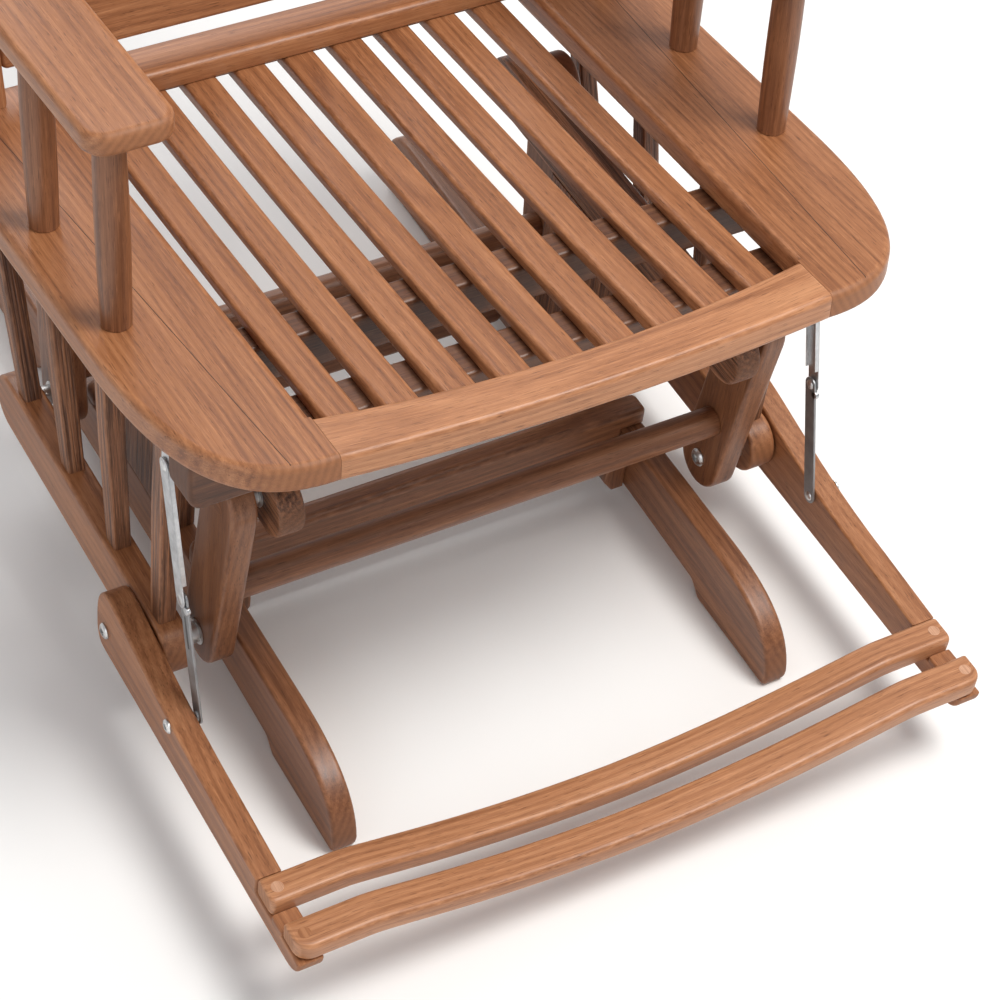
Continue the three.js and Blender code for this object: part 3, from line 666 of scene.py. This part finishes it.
SEAT_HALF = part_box("seat_board_right")[0].x
FRONT_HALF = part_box("front_rail")[1].x
REAR_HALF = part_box("rear_rail")[1].x + 1 * MM
GLUE_FRONT, GLUE_REAR_X = Vector((281 * MM, -46 * MM)), 321 * MM
GLUE_HALF = 0.35 * MM
for side, sign in SIDES:
    node_name = f"seat_board_{side}"
    spans = tilted_span(node_name, SEAT, SEAT_TILT)
    outer = max(abs(spans[0][0]), abs(spans[0][1]))
    rear = spans[1][1]
    outline = side_board_outline(sign, SEAT_HALF, REAR_HALF, outer, rear)
    board = prism(f"{node_name}_wood", outline, (-BOARD_T, 0), "z", "y", edge=BOARD_EDGE, matrix=SEAT,
                  flush=lambda x, y: abs(x) < SEAT_HALF + 0.1 * MM and y < 0.5 * MM)
    dress(board, WOOD, "seat", node_name)
    # the dark glue line between the board's two planks
    back_end = Vector((GLUE_REAR_X, rear - 1 * MM))
    across = Vector((GLUE_FRONT - back_end).orthogonal()).normalized() * GLUE_HALF
    outline = [GLUE_FRONT - across, GLUE_FRONT + across, back_end + across, back_end - across]
    line = prism(f"glue_line_{side}", [(sign * p.x, p.y) for p in outline], (-0.4 * MM, 0.12 * MM), "z", "y",
                 edge=0.05 * MM, matrix=SEAT, soft=0.05 * MM)
    dress(line, GLUE, "seat")

SLAT_DROP = 14 * MM
SLAT_T = 14 * MM
SLAT_DIP = 4 * MM
OPENING_BOW = 22 * MM
FRONT_BOW = 12 * MM
REBATE_FRONT = 37 * MM           # the front rail is full depth in front of this, and a tongue behind it


def rail_bow(x, y, z):
    """Bows the front rail forwards, its rear edge more than its front edge."""
    share = (y + NOSE) / NOSE
    bow = FRONT_BOW + (OPENING_BOW - FRONT_BOW) * share
    return (x, y - bow * (1 - (x / FRONT_HALF) ** 2), z)


r = BOARD_EDGE
outline = arc(-NOSE + r, -r, r, 180, 90) + arc(-r, -r, r, 90, 0)
outline += [(0, -SLAT_DROP + 0.3 * MM), (-REBATE_FRONT, -SLAT_DROP + 0.3 * MM), (-REBATE_FRONT, -BOARD_T)]
outline += arc(-NOSE + r, -BOARD_T + r, r, 270, 180)
front_rail = prism("front_rail_wood", outline, (-FRONT_HALF, FRONT_HALF), "x", "x", edge=0.1 * MM,
                   matrix=SEAT, stations=60, bend=rail_bow, soft=0.1 * MM)
dress(front_rail, WOOD_PAINTED_LIGHT, "seat", "front_rail")

(rail_x, rail_y, rail_z) = tilted_span("rear_rail", SEAT, SEAT_TILT)
outline = (
    [(rail_y[0] + 19 * MM, rail_z[0]), (rail_y[1] - 2 * MM, rail_z[0]), (rail_y[1], rail_z[0] + 2 * MM)]
    + arc(rail_y[1] - 6 * MM, rail_z[1] - 6 * MM, 6 * MM, 0, 90, 6)
    + arc(rail_y[0] + 6 * MM, rail_z[1] - 6 * MM, 6 * MM, 90, 180, 6)
    + arc(rail_y[0] + 2 * MM, -SLAT_DROP + 2.3 * MM, 2 * MM, 180, 270, 3)
    + [(rail_y[0] + 19 * MM, -SLAT_DROP + 0.3 * MM)]
)
rail = prism("rear_rail_wood", outline, rail_x, "x", "x", edge=1.5 * MM, matrix=SEAT)
dress(rail, WOOD, "seat", "rear_rail")


def slat_bend(y_from, y_to):
    """Hollows a slat's top towards the middle of its length and leaves its underside flat."""
    def bend(x, y, z):
        t = min(max((y - y_from) / (y_to - y_from), 0), 1)
        share = (z + SLAT_DROP + SLAT_T) / SLAT_T
        return (x, y, z - SLAT_DIP * 4 * t * (1 - t) * share)
    return bend


for i in range(1, 10):
    (x0, x1), (y0, y1), _ = tilted_span(f"slat_{i}", SEAT, SEAT_TILT)
    z0, z1 = -SLAT_DROP - SLAT_T, -SLAT_DROP
    r, under_r = 5 * MM, 2 * MM
    outline = (arc(x1 - r, z1 - r, r, 0, 90, 6) + arc(x0 + r, z1 - r, r, 90, 180, 6)
               + arc(x0 + under_r, z0 + under_r, under_r, 180, 270, 3)
               + arc(x1 - under_r, z0 + under_r, under_r, 270, 360, 3))
    slat = prism(f"slat_{i}_wood", outline, (y0, y1), "y", "y", edge=1 * MM, matrix=SEAT, stations=20,
                 bend=slat_bend(0, rail_y[0]))
    dress(slat, WOOD, "seat", f"slat_{i}")

for name, r in (("front_beam", 14 * MM), ("middle_beam", 8 * MM)):
    (x0, x1), (y0, y1), (z0, z1) = tilted_span(name, SEAT, SEAT_TILT)
    outline = arc(x0 + r, z0 + r, r, 180, 270, 10) + arc(x1 - r, z0 + r, r, 270, 360, 10)
    outline += [(x1, z1), (x0, z1)]
    beam = prism(f"{name}_wood", outline, (y0, y1), "y", "x", edge=4 * MM, matrix=SEAT)
    dress(beam, WOOD_SHADE, "seat", name)


# ---------- lower side frames ----------
def board_underside(y):
    """Height of the side boards' underside at y."""
    return SEAT.translation.z - (y - SEAT.translation.y) * math.tan(SEAT_TILT) - BOARD_T / math.cos(SEAT_TILT)


SPINDLE_DEEP, SPINDLE_WIDE = 23 * MM, 20 * MM
pivot_front = middle_of("front_low_bolt_right")[0]
# how far behind the front pivot each spindle's foot and head stand, in millimetres
SPINDLES = ((7, 11), (103, 145), (207, 275), (308, 407))
LOWER_RAIL_LONG = 389 * MM
LOWER_RAIL_R = 30 * MM
for side, sign in SIDES:
    low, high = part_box(f"lower_frame_{side}")
    r = LOWER_RAIL_R
    tip_front, tip_rear = low.y, low.y + LOWER_RAIL_LONG
    rail_z = low.z + r
    outline = stadium((tip_front + r, rail_z), (tip_rear - r, rail_z), r)
    rail = prism(f"lower_rail_{side}", outline, (low.x, high.x), "x", "y", edge=3 * MM)
    dress(rail, WOOD, "seat", f"lower_frame_{side}")
    middle_x = (low.x + high.x) / 2
    for i, (foot, head) in enumerate(SPINDLES):
        foot_y, head_y = pivot_front + foot * MM, pivot_front + head * MM
        z0, z1 = rail_z + r - 2 * MM, board_underside(head_y)
        wide, deep = SPINDLE_WIDE / 2, SPINDLE_DEEP / 2
        outline = rectangle(-wide, wide, -deep, deep, 3.5 * MM)

        def lean(x, y, z, foot_y=foot_y, head_y=head_y, z0=z0, z1=z1, middle_x=middle_x):
            t = (z - z0) / (z1 - z0)
            taper = 1 - 0.12 * abs(2 * t - 1)
            at_y = foot_y + (head_y - foot_y) * t + y * taper
            return (middle_x + x * taper, at_y, z - (at_y - head_y) * math.tan(SEAT_TILT) * t)

        spindle = prism(f"lower_spindle_{side}_{i + 1}", outline, (z0, z1), "z", "z", edge=0.5 * MM,
                        stations=8, bend=lean)
        dress(spindle, WOOD_BRUSHED_SHADE, "seat")


# ---------- posts and armrests ----------
for side, sign in SIDES:
    for place in ("front", "middle", "rear"):
        node_name = f"post_{place}_{side}"
        (x0, x1), (y0, y1), (z0, z1) = tilted_span(node_name, SEAT, SEAT_TILT)
        centre_x, centre_y, r = (x0 + x1) / 2, (y0 + y1) / 2, (x1 - x0) / 2

        def swell(x, y, z, centre_x=centre_x, centre_y=centre_y, z0=z0, z1=z1):
            t = (z - z0) / (z1 - z0)
            k = 0.90 + 0.10 * math.sin(math.pi * min(max(t, 0), 1))
            return (centre_x + (x - centre_x) * k, centre_y + (y - centre_y) * k, z)

        post = prism(f"{node_name}_wood", circle(centre_x, centre_y, r, 32), (z0, z1), "z", "z",
                     edge=0.6 * MM, matrix=SEAT, stations=10, bend=swell)
        dress(post, WOOD_PAINTED_SHADE, "seat", node_name)

    node_name = f"armrest_{side}"
    (x0, x1), (y0, y1), (z0, z1) = tilted_span(node_name, SEAT, SEAT_TILT)
    inner, outer = (x0, x1) if sign > 0 else (-x1, -x0)
    narrow, corner = 6 * MM, 22 * MM
    points = arc(inner + corner, y0 + corner, corner, 180, 270, 10)
    points += arc(outer - narrow - corner, y0 + corner, corner, 270, 360, 10)
    points += [(outer, y1), (inner, y1)]
    armrest = prism(f"{node_name}_wood", [(sign * x, y) for x, y in points], (z0, z1), "z", "y",
                    edge=6 * MM, matrix=SEAT)
    dress(armrest, WOOD, "seat", node_name)


# ---------- backrest ----------
for side, sign in SIDES:
    node_name = f"back_stile_{side}"
    low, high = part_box(node_name)
    top_r = BOARD_T / 2
    rise = high.z - BACK.translation.z - top_r + top_r * math.sin(BACK_LEAN)
    # half a millimetre low, because this arc is rounder than the one in the CAD
    top_centre = rise / math.cos(BACK_LEAN) - 0.5 * MM
    foot_rise = BOARD_T * math.tan(BACK_LEAN - SEAT_TILT)
    outline = ([(0, 0.3 * MM), (BOARD_T, foot_rise + 0.3 * MM)]
               + arc(top_r, top_centre, top_r, 0, 180, 14))
    stile = prism(f"{node_name}_wood", outline, (low.x, high.x), "x", "z", edge=4 * MM, matrix=BACK)
    dress(stile, WOOD, "seat", node_name)

(panel_x, panel_y, panel_z) = tilted_span("back_panel", BACK, BACK_LEAN)
RAIL_H, CREST_H, CREST_RISE = 60 * MM, 72 * MM, 24 * MM
half = panel_x[1]
crest_low = panel_z[1] - CREST_H - CREST_RISE
crest_line = [(x, panel_z[1] - CREST_RISE * (x / half) ** 2) for x in np.linspace(half, -half, 33)]
crest = prism("crest_wood", [(-half, crest_low), (half, crest_low)] + crest_line, panel_y, "y", "x",
              edge=4 * MM, matrix=BACK)
dress(crest, WOOD, "seat", "back_panel")
outline = rectangle(-half, half, panel_z[0], panel_z[0] + RAIL_H, 6 * MM)
low_rail = prism("back_low_rail_wood", outline, panel_y, "y", "x", edge=4 * MM, matrix=BACK)
dress(low_rail, WOOD, "seat")
BACK_SLATS, BACK_SLAT_W, BACK_SLAT_T = 5, 60 * MM, 12 * MM
middle_y = sum(panel_y) / 2
SLAT_END = 3 * MM                # a back slat's ends are this deep in the rails
for i in range(BACK_SLATS):
    x = (i - (BACK_SLATS - 1) / 2) * 2 * half / (BACK_SLATS + 1)
    outline = rectangle(x - BACK_SLAT_W / 2, x + BACK_SLAT_W / 2,
                        middle_y - BACK_SLAT_T / 2, middle_y + BACK_SLAT_T / 2, 3 * MM)
    slat = prism(f"back_slat_{i + 1}", outline, (panel_z[0] + RAIL_H - SLAT_END, crest_low + SLAT_END),
                 "z", "z", edge=0.5 * MM, matrix=BACK)
    dress(slat, WOOD, "seat")


# ---------- footrest ----------
fold = JOINTS["footrest_fold"]
stay_foot = JOINTS["stay_lower_turn"]
bar_boxes = {name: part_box(f"footrest_bar_{name}") for name in ("rear", "front")}
BAR_T = 21 * MM
bar_top = bar_boxes["rear"][1].z
bar_seat = bar_top - BAR_T
LAND = 5 * MM                    # the arms stand this far up between the bars


def arm_outline(low, high):
    """Side view of a footrest arm: a deep heel round the pivot, a slim front with seats for the bars."""
    under = low.z
    points = [(fold.y, under)]
    points += curve((fold.y + 2 * MM, under), (high.y - 2 * MM, under), (high.y, under + 14 * MM),
                    (high.y, under + 34 * MM), 10)
    points += curve((high.y, under + 36 * MM), (high.y, under + 66 * MM), (high.y - 8 * MM, high.z - 1 * MM),
                    (fold.y - 7 * MM, high.z), 12)
    points += curve((fold.y - 8 * MM, high.z), (fold.y - 52 * MM, high.z - 6 * MM),
                    (stay_foot.y + 12 * MM, under + 48 * MM), (stay_foot.y - 90 * MM, under + 45 * MM), 22)
    rear_bar, front_bar = bar_boxes["rear"], bar_boxes["front"]
    slack = 0.3 * MM
    points += [(rear_bar[1].y + slack, bar_top - 3 * MM), (rear_bar[1].y + slack, bar_seat - slack)]
    points += [(rear_bar[0].y - slack, bar_seat - slack), (rear_bar[0].y - slack, bar_seat + LAND)]
    points += [(front_bar[1].y + slack, bar_seat + LAND), (front_bar[1].y + slack, bar_seat - slack)]
    points += [(low.y + 1 * MM, bar_seat - slack)]
    points += curve((low.y, bar_seat - 1.5 * MM), (low.y, under + 10 * MM), (low.y + 6 * MM, under),
                    (low.y + 24 * MM, under), 12)
    return points


for side, sign in SIDES:
    node_name = f"footrest_arm_{side}"
    low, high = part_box(node_name)
    arm = prism(f"{node_name}_wood", arm_outline(low, high), (low.x, high.x), "x", "y",
                edge=2.5 * MM, soft=1.5 * MM)
    dress(arm, WOOD, "footrest", node_name)
    inner, outer = sorted((abs(low.x), abs(high.x)))
    pivot, stay_pivot = (fold.y, fold.z), (stay_foot.y, stay_foot.z)
    head = hex_bolt(f"footrest_pivot_head_{side}", sign * outer, sign, *pivot, "footrest", 8 * MM, 3.8 * MM)
    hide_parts(f"footrest_bolt_{side}")
    washer(f"footrest_pivot_washer_{side}", inner - 1.9 * MM, inner - 0.1 * MM, sign, *pivot,
           "footrest", 11 * MM)
    hex_bolt(f"stay_bolt_head_{side}", sign * outer, sign, *stay_pivot, "footrest", 7 * MM, 3.2 * MM)

BAR_DIP = 33 * MM
BAR_CORNER = {"rear": 5 * MM, "front": 15 * MM}
ARM_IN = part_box("footrest_arm_right")[0].x
FLAT_X = ARM_IN - 45 * MM        # the bars are straight from here out
EASE = 20 * MM                   # and turn down over about this length


def bar_bend(low, high, corner):
    """Lowers the middle of a footrest bar: a short turn beside the flat end, then a long sag. The front
    face is drawn back at both ends into a round corner."""
    def bend(x, y, z):
        inside = max(FLAT_X - abs(x), 0)
        t = 1 - inside * inside / (inside + EASE) / FLAT_X
        into = max(abs(x) - (high.x - corner), 0)
        drawn_back = corner - math.sqrt(max(corner * corner - into * into, 0))
        share = (high.y - y) / (high.y - low.y)
        return (x, y + drawn_back * share, z - BAR_DIP * (1 - t * t))
    return bend


BAR_PLUG_IN, BAR_PLUG_R = 12.5 * MM, 5.8 * MM
for name, (low, high) in bar_boxes.items():
    outline = rectangle(low.y, high.y, bar_seat, bar_top, 5 * MM)
    bar = prism(f"footrest_bar_{name}_wood", outline, (low.x, high.x), "x", "x", edge=3 * MM, stations=160,
                bend=bar_bend(low, high, BAR_CORNER[name]), soft=1 * MM)
    dress(bar, WOOD_PAINTED_LIGHT, "footrest", f"footrest_bar_{name}")
    for side, sign in SIDES:
        # a turned plug over the screw that holds the bar to its arm
        x, y = sign * (ARM_IN + BAR_PLUG_IN), (low.y + high.y) / 2
        span = (bar_top - 2 * MM, bar_top + 0.2 * MM)
        plug = prism(f"bar_plug_{name}_{side}", circle(x, y, BAR_PLUG_R, 24), span, "z", "y",
                     edge=0.3 * MM, soft=0.2 * MM)
        dress(plug, WOOD if (name, side) == ("front", "left") else PLUG, "footrest")


# ---------- folding stays ----------
STAY_R = 8 * MM                  # half of a strip's width in the CAD, and of the upper strip here
WALL_T = 1.2 * MM                # the upper strip is a channel that opens inwards
WALL_DEEP = 4.9 * MM
WALL_FROM, WALL_SHORT = 2 * MM, 17 * MM          # the walls stop short of the strip's two pivots
SLOT_REACH, SLOT_R = (52 * MM, 20 * MM), 1.7 * MM
STOP_ALONG, STOP_ASIDE, STOP_R = 9 * MM, 6.5 * MM, 4 * MM
BRACKET_HALF, EAR_T = 10 * MM, 2.2 * MM
FLANGE_WIDE, FLANGE_T = 22 * MM, 2.3 * MM
RIVET_HEAD = 1.3 * MM
RIVET_DOME = [(0, 3.2 * MM), (0.9 * MM, 4.8 * MM), (RIVET_HEAD, 5 * MM)]
FOOT_END = [(-RIVET_HEAD, 5 * MM)]
STAY_TOP = (JOINTS["stay_upper_turn"].y, JOINTS["stay_upper_turn"].z)
STAY_FOOT = (stay_foot.y, stay_foot.z)


def along_strip(start, end):
    """A frame whose z runs from one pivot to the next and whose x is the chair's."""
    run = Vector((0, end[0] - start[0], end[1] - start[1]))
    z_axis = run.normalized()
    x_axis = Vector((1, 0, 0))
    turn = Matrix((x_axis, z_axis.cross(x_axis), z_axis)).transposed().to_4x4()
    return Matrix.Translation((0, *start)) @ turn, run.length


def upper_strip(side, sign, joint, x_out):
    """The upper strip: a web and two walls that turn inwards."""
    web = prism(f"stay_upper_{side}_steel", stadium(STAY_TOP, joint, STAY_R, 14),
                (sign * (x_out - WALL_T), sign * x_out), "x", "z", edge=0.4 * MM, soft=0.4 * MM)
    dress(web, GALVANISED, "stay_uppers", f"stay_upper_{side}")
    matrix, length = along_strip(STAY_TOP, joint)
    for edge_name, across in (("front", 1), ("rear", -1)):
        wall_y = sorted((across * STAY_R, across * (STAY_R - WALL_T)))
        outline = rectangle(*sorted((sign * x_out, sign * (x_out - WALL_DEEP))), *wall_y, 0.4 * MM)
        wall = prism(f"stay_wall_{edge_name}_{side}", outline, (WALL_FROM, length - WALL_SHORT), "z", "z",
                     edge=0.3 * MM, matrix=matrix, soft=0.3 * MM)
        dress(wall, GALVANISED, "stay_uppers")


def lower_strip(side, sign, joint, inner, outer):
    """The lower strip, with a slot beside the middle joint, drawn as a thin near-black plate of painted
    shadow, and the stop that keeps the stay from folding backwards."""
    span = (sign * inner, sign * outer)
    strip = prism(f"stay_lower_{side}_steel", stadium(STAY_FOOT, joint, STAY_R - 0.2 * MM, 14), span,
                  "x", "z", edge=0.6 * MM, soft=0.6 * MM)
    dress(strip, STRIP_STEEL, "stay_lowers", f"stay_lower_{side}")
    run = Vector((joint[0] - STAY_FOOT[0], joint[1] - STAY_FOOT[1])).normalized()
    slot_from, slot_to = (Vector(joint) - run * distance for distance in SLOT_REACH)
    span = (sign * (outer - 0.3 * MM), sign * (outer + 0.1 * MM))
    # the slot is a thin near-black plate on the strip: painted shadow where the steel is cut through
    slot = prism(f"stay_slot_{side}", stadium(slot_from, slot_to, SLOT_R, 8), span,
                 "x", "z", edge=0.05 * MM, soft=0.05 * MM)
    dress(slot, SLOT_SHADOW_STEEL, "stay_lowers")
    stop_at = Vector(joint) - run * STOP_ALONG + Vector((-run.y, run.x)) * STOP_ASIDE
    span = (sign * inner, sign * (outer + 1.6 * MM))
    stop = prism(f"stay_stop_{side}", circle(stop_at.x, stop_at.y, STOP_R, 16), span,
                 "x", "z", edge=0.5 * MM, soft=0.5 * MM)
    dress(stop, GALVANISED, "stay_lowers")


def stay_rivet(name, far_head, thick, x_in, sign, place, body):
    """A rivet through a stack that starts at x_in and is thick deep, with a domed head on its inner side.
    The far head is a list of (how far it stands out, radius)."""
    profile = RIVET_DOME + [(RIVET_HEAD + thick + out, radius) for out, radius in far_head]
    dress(turned(name, profile, x_in - RIVET_HEAD, sign, *place, 24), ZINC, body)


def stay_bracket(side, sign, ear_in, ear_out):
    """An ear beside the upper strip and a flange screwed under the side board."""
    y, z = STAY_TOP
    w = BRACKET_HALF
    flange_z = board_underside(y + w) - 0.5 * MM
    ear_shape = arc(y, z - 2 * MM, w, 180, 360, 14) + [(y + w, flange_z), (y - w, flange_z)]
    ear = prism(f"stay_bracket_{side}", ear_shape, on_side(sign, ear_in, ear_out), "x", "z",
                edge=0.6 * MM, soft=0.5 * MM)
    dress(ear, GALVANISED, "seat")
    outline = rectangle(y - w, y + w, flange_z - FLANGE_T, flange_z, 0.8 * MM)
    flange = prism(f"stay_flange_{side}", outline, on_side(sign, ear_in - FLANGE_WIDE, ear_out), "x", "x",
                   edge=0.6 * MM, soft=0.6 * MM)
    dress(flange, GALVANISED, "seat")


for side, sign in SIDES:
    low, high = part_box(f"stay_upper_{side}")
    upper_in, upper_out = sorted((low.x * sign, high.x * sign))
    lower_in, lower_out = sorted(corner.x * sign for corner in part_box(f"stay_lower_{side}"))
    joint = (low.y + STAY_R, low.z + STAY_R)
    upper_strip(side, sign, joint, upper_out)
    lower_strip(side, sign, joint, lower_in, lower_out)
    # the middle rivet's outer head is all but flush, since the footrest arm passes close beside it
    thick = upper_out - lower_in
    flush_head = [(0, 5.4 * MM), (0.2 * MM, 5.1 * MM)]
    stay_rivet(f"stay_joint_rivet_{side}", flush_head, thick, lower_in, sign, joint, "stay_uppers")
    stay_rivet(f"stay_foot_rivet_{side}", FOOT_END, thick, lower_in, sign, STAY_FOOT, "footrest")
    ear_out = upper_in - 0.3 * MM
    ear_in = ear_out - EAR_T
    stay_bracket(side, sign, ear_in, ear_out)
    domed = [(0, 5 * MM), (0.8 * MM, 4.2 * MM), (1.3 * MM, 2.6 * MM)]
    stay_rivet(f"stay_top_rivet_{side}", domed, upper_out - ear_in, ear_in, sign, STAY_TOP, "seat")


# ---------- stage, light and camera ----------
floor_mesh = bpy.data.meshes.new("floor")
size = 9.0
floor_corners = [(-size, -size, 0), (size, -size, 0), (size, size, 0), (-size, size, 0)]
floor_mesh.from_pydata(floor_corners, [], [(0, 1, 2, 3)])
floor = bpy.data.objects.new("floor", floor_mesh)
bpy.context.scene.collection.objects.link(floor)
floor_material, _, floor_shader = new_material("pale_floor")
floor_shader.inputs["Base Color"].default_value = (0.90, 0.90, 0.89, 1)
floor_shader.inputs["Roughness"].default_value = 0.75
floor_mesh.materials.append(floor_material)

world = bpy.data.worlds.new("studio")
bpy.context.scene.world = world
world.use_nodes = True
world.node_tree.nodes["Background"].inputs["Color"].default_value = (0.98, 0.98, 1.0, 1)
world.node_tree.nodes["Background"].inputs["Strength"].default_value = 0.50


def area_light(name, place, target, energy, width, colour):
    data = bpy.data.lights.new(name, "AREA")
    data.energy = energy
    data.size = width
    data.color = colour
    light = bpy.data.objects.new(name, data)
    light.location = place
    light.rotation_euler = (Vector(target) - Vector(place)).to_track_quat("-Z", "Y").to_euler()
    bpy.context.scene.collection.objects.link(light)


area_light("key", (1.0, -1.0, 3.2), (0, 0, 0.4), 92, 1.4, (1.0, 0.98, 0.95))
area_light("fill", (-3.0, -1.6, 1.6), (0, 0, 0.3), 22, 2.4, (0.95, 0.97, 1.0))
area_light("rear", (0.6, 3.0, 2.6), (0, 0, 0.5), 45, 2.0, (1, 1, 1))

AZIMUTH, ELEVATION, ROLL = math.radians(-35.91), math.radians(47.23), math.radians(9.06)
FOCAL = 2.946                    # focal length over the picture's width
SENSOR = 36
camera_data = bpy.data.cameras.new("camera")
camera_data.sensor_width = SENSOR
camera_data.lens = SENSOR * FOCAL
camera_data.clip_end = 50
camera = bpy.data.objects.new("camera", camera_data)
backwards = Vector((
    math.sin(AZIMUTH) * math.cos(ELEVATION), -math.cos(AZIMUTH) * math.cos(ELEVATION), math.sin(ELEVATION)))
level_right = (-backwards).cross(Vector((0, 0, 1))).normalized()
level_up = level_right.cross(-backwards)
right = math.cos(ROLL) * level_right + math.sin(ROLL) * level_up
up = math.cos(ROLL) * level_up - math.sin(ROLL) * level_right
# the camera stands this far from the front corners' middle of the slatted opening
from_opening = Vector((-1.082, -1.441, 1.733))
turn = Matrix((right, up, backwards)).transposed().to_4x4()
camera.matrix_world = Matrix.Translation(SEAT.translation + from_opening) @ turn
bpy.context.scene.collection.objects.link(camera)
bpy.context.scene.camera = camera
bpy.context.scene.view_settings.view_transform = "Standard"
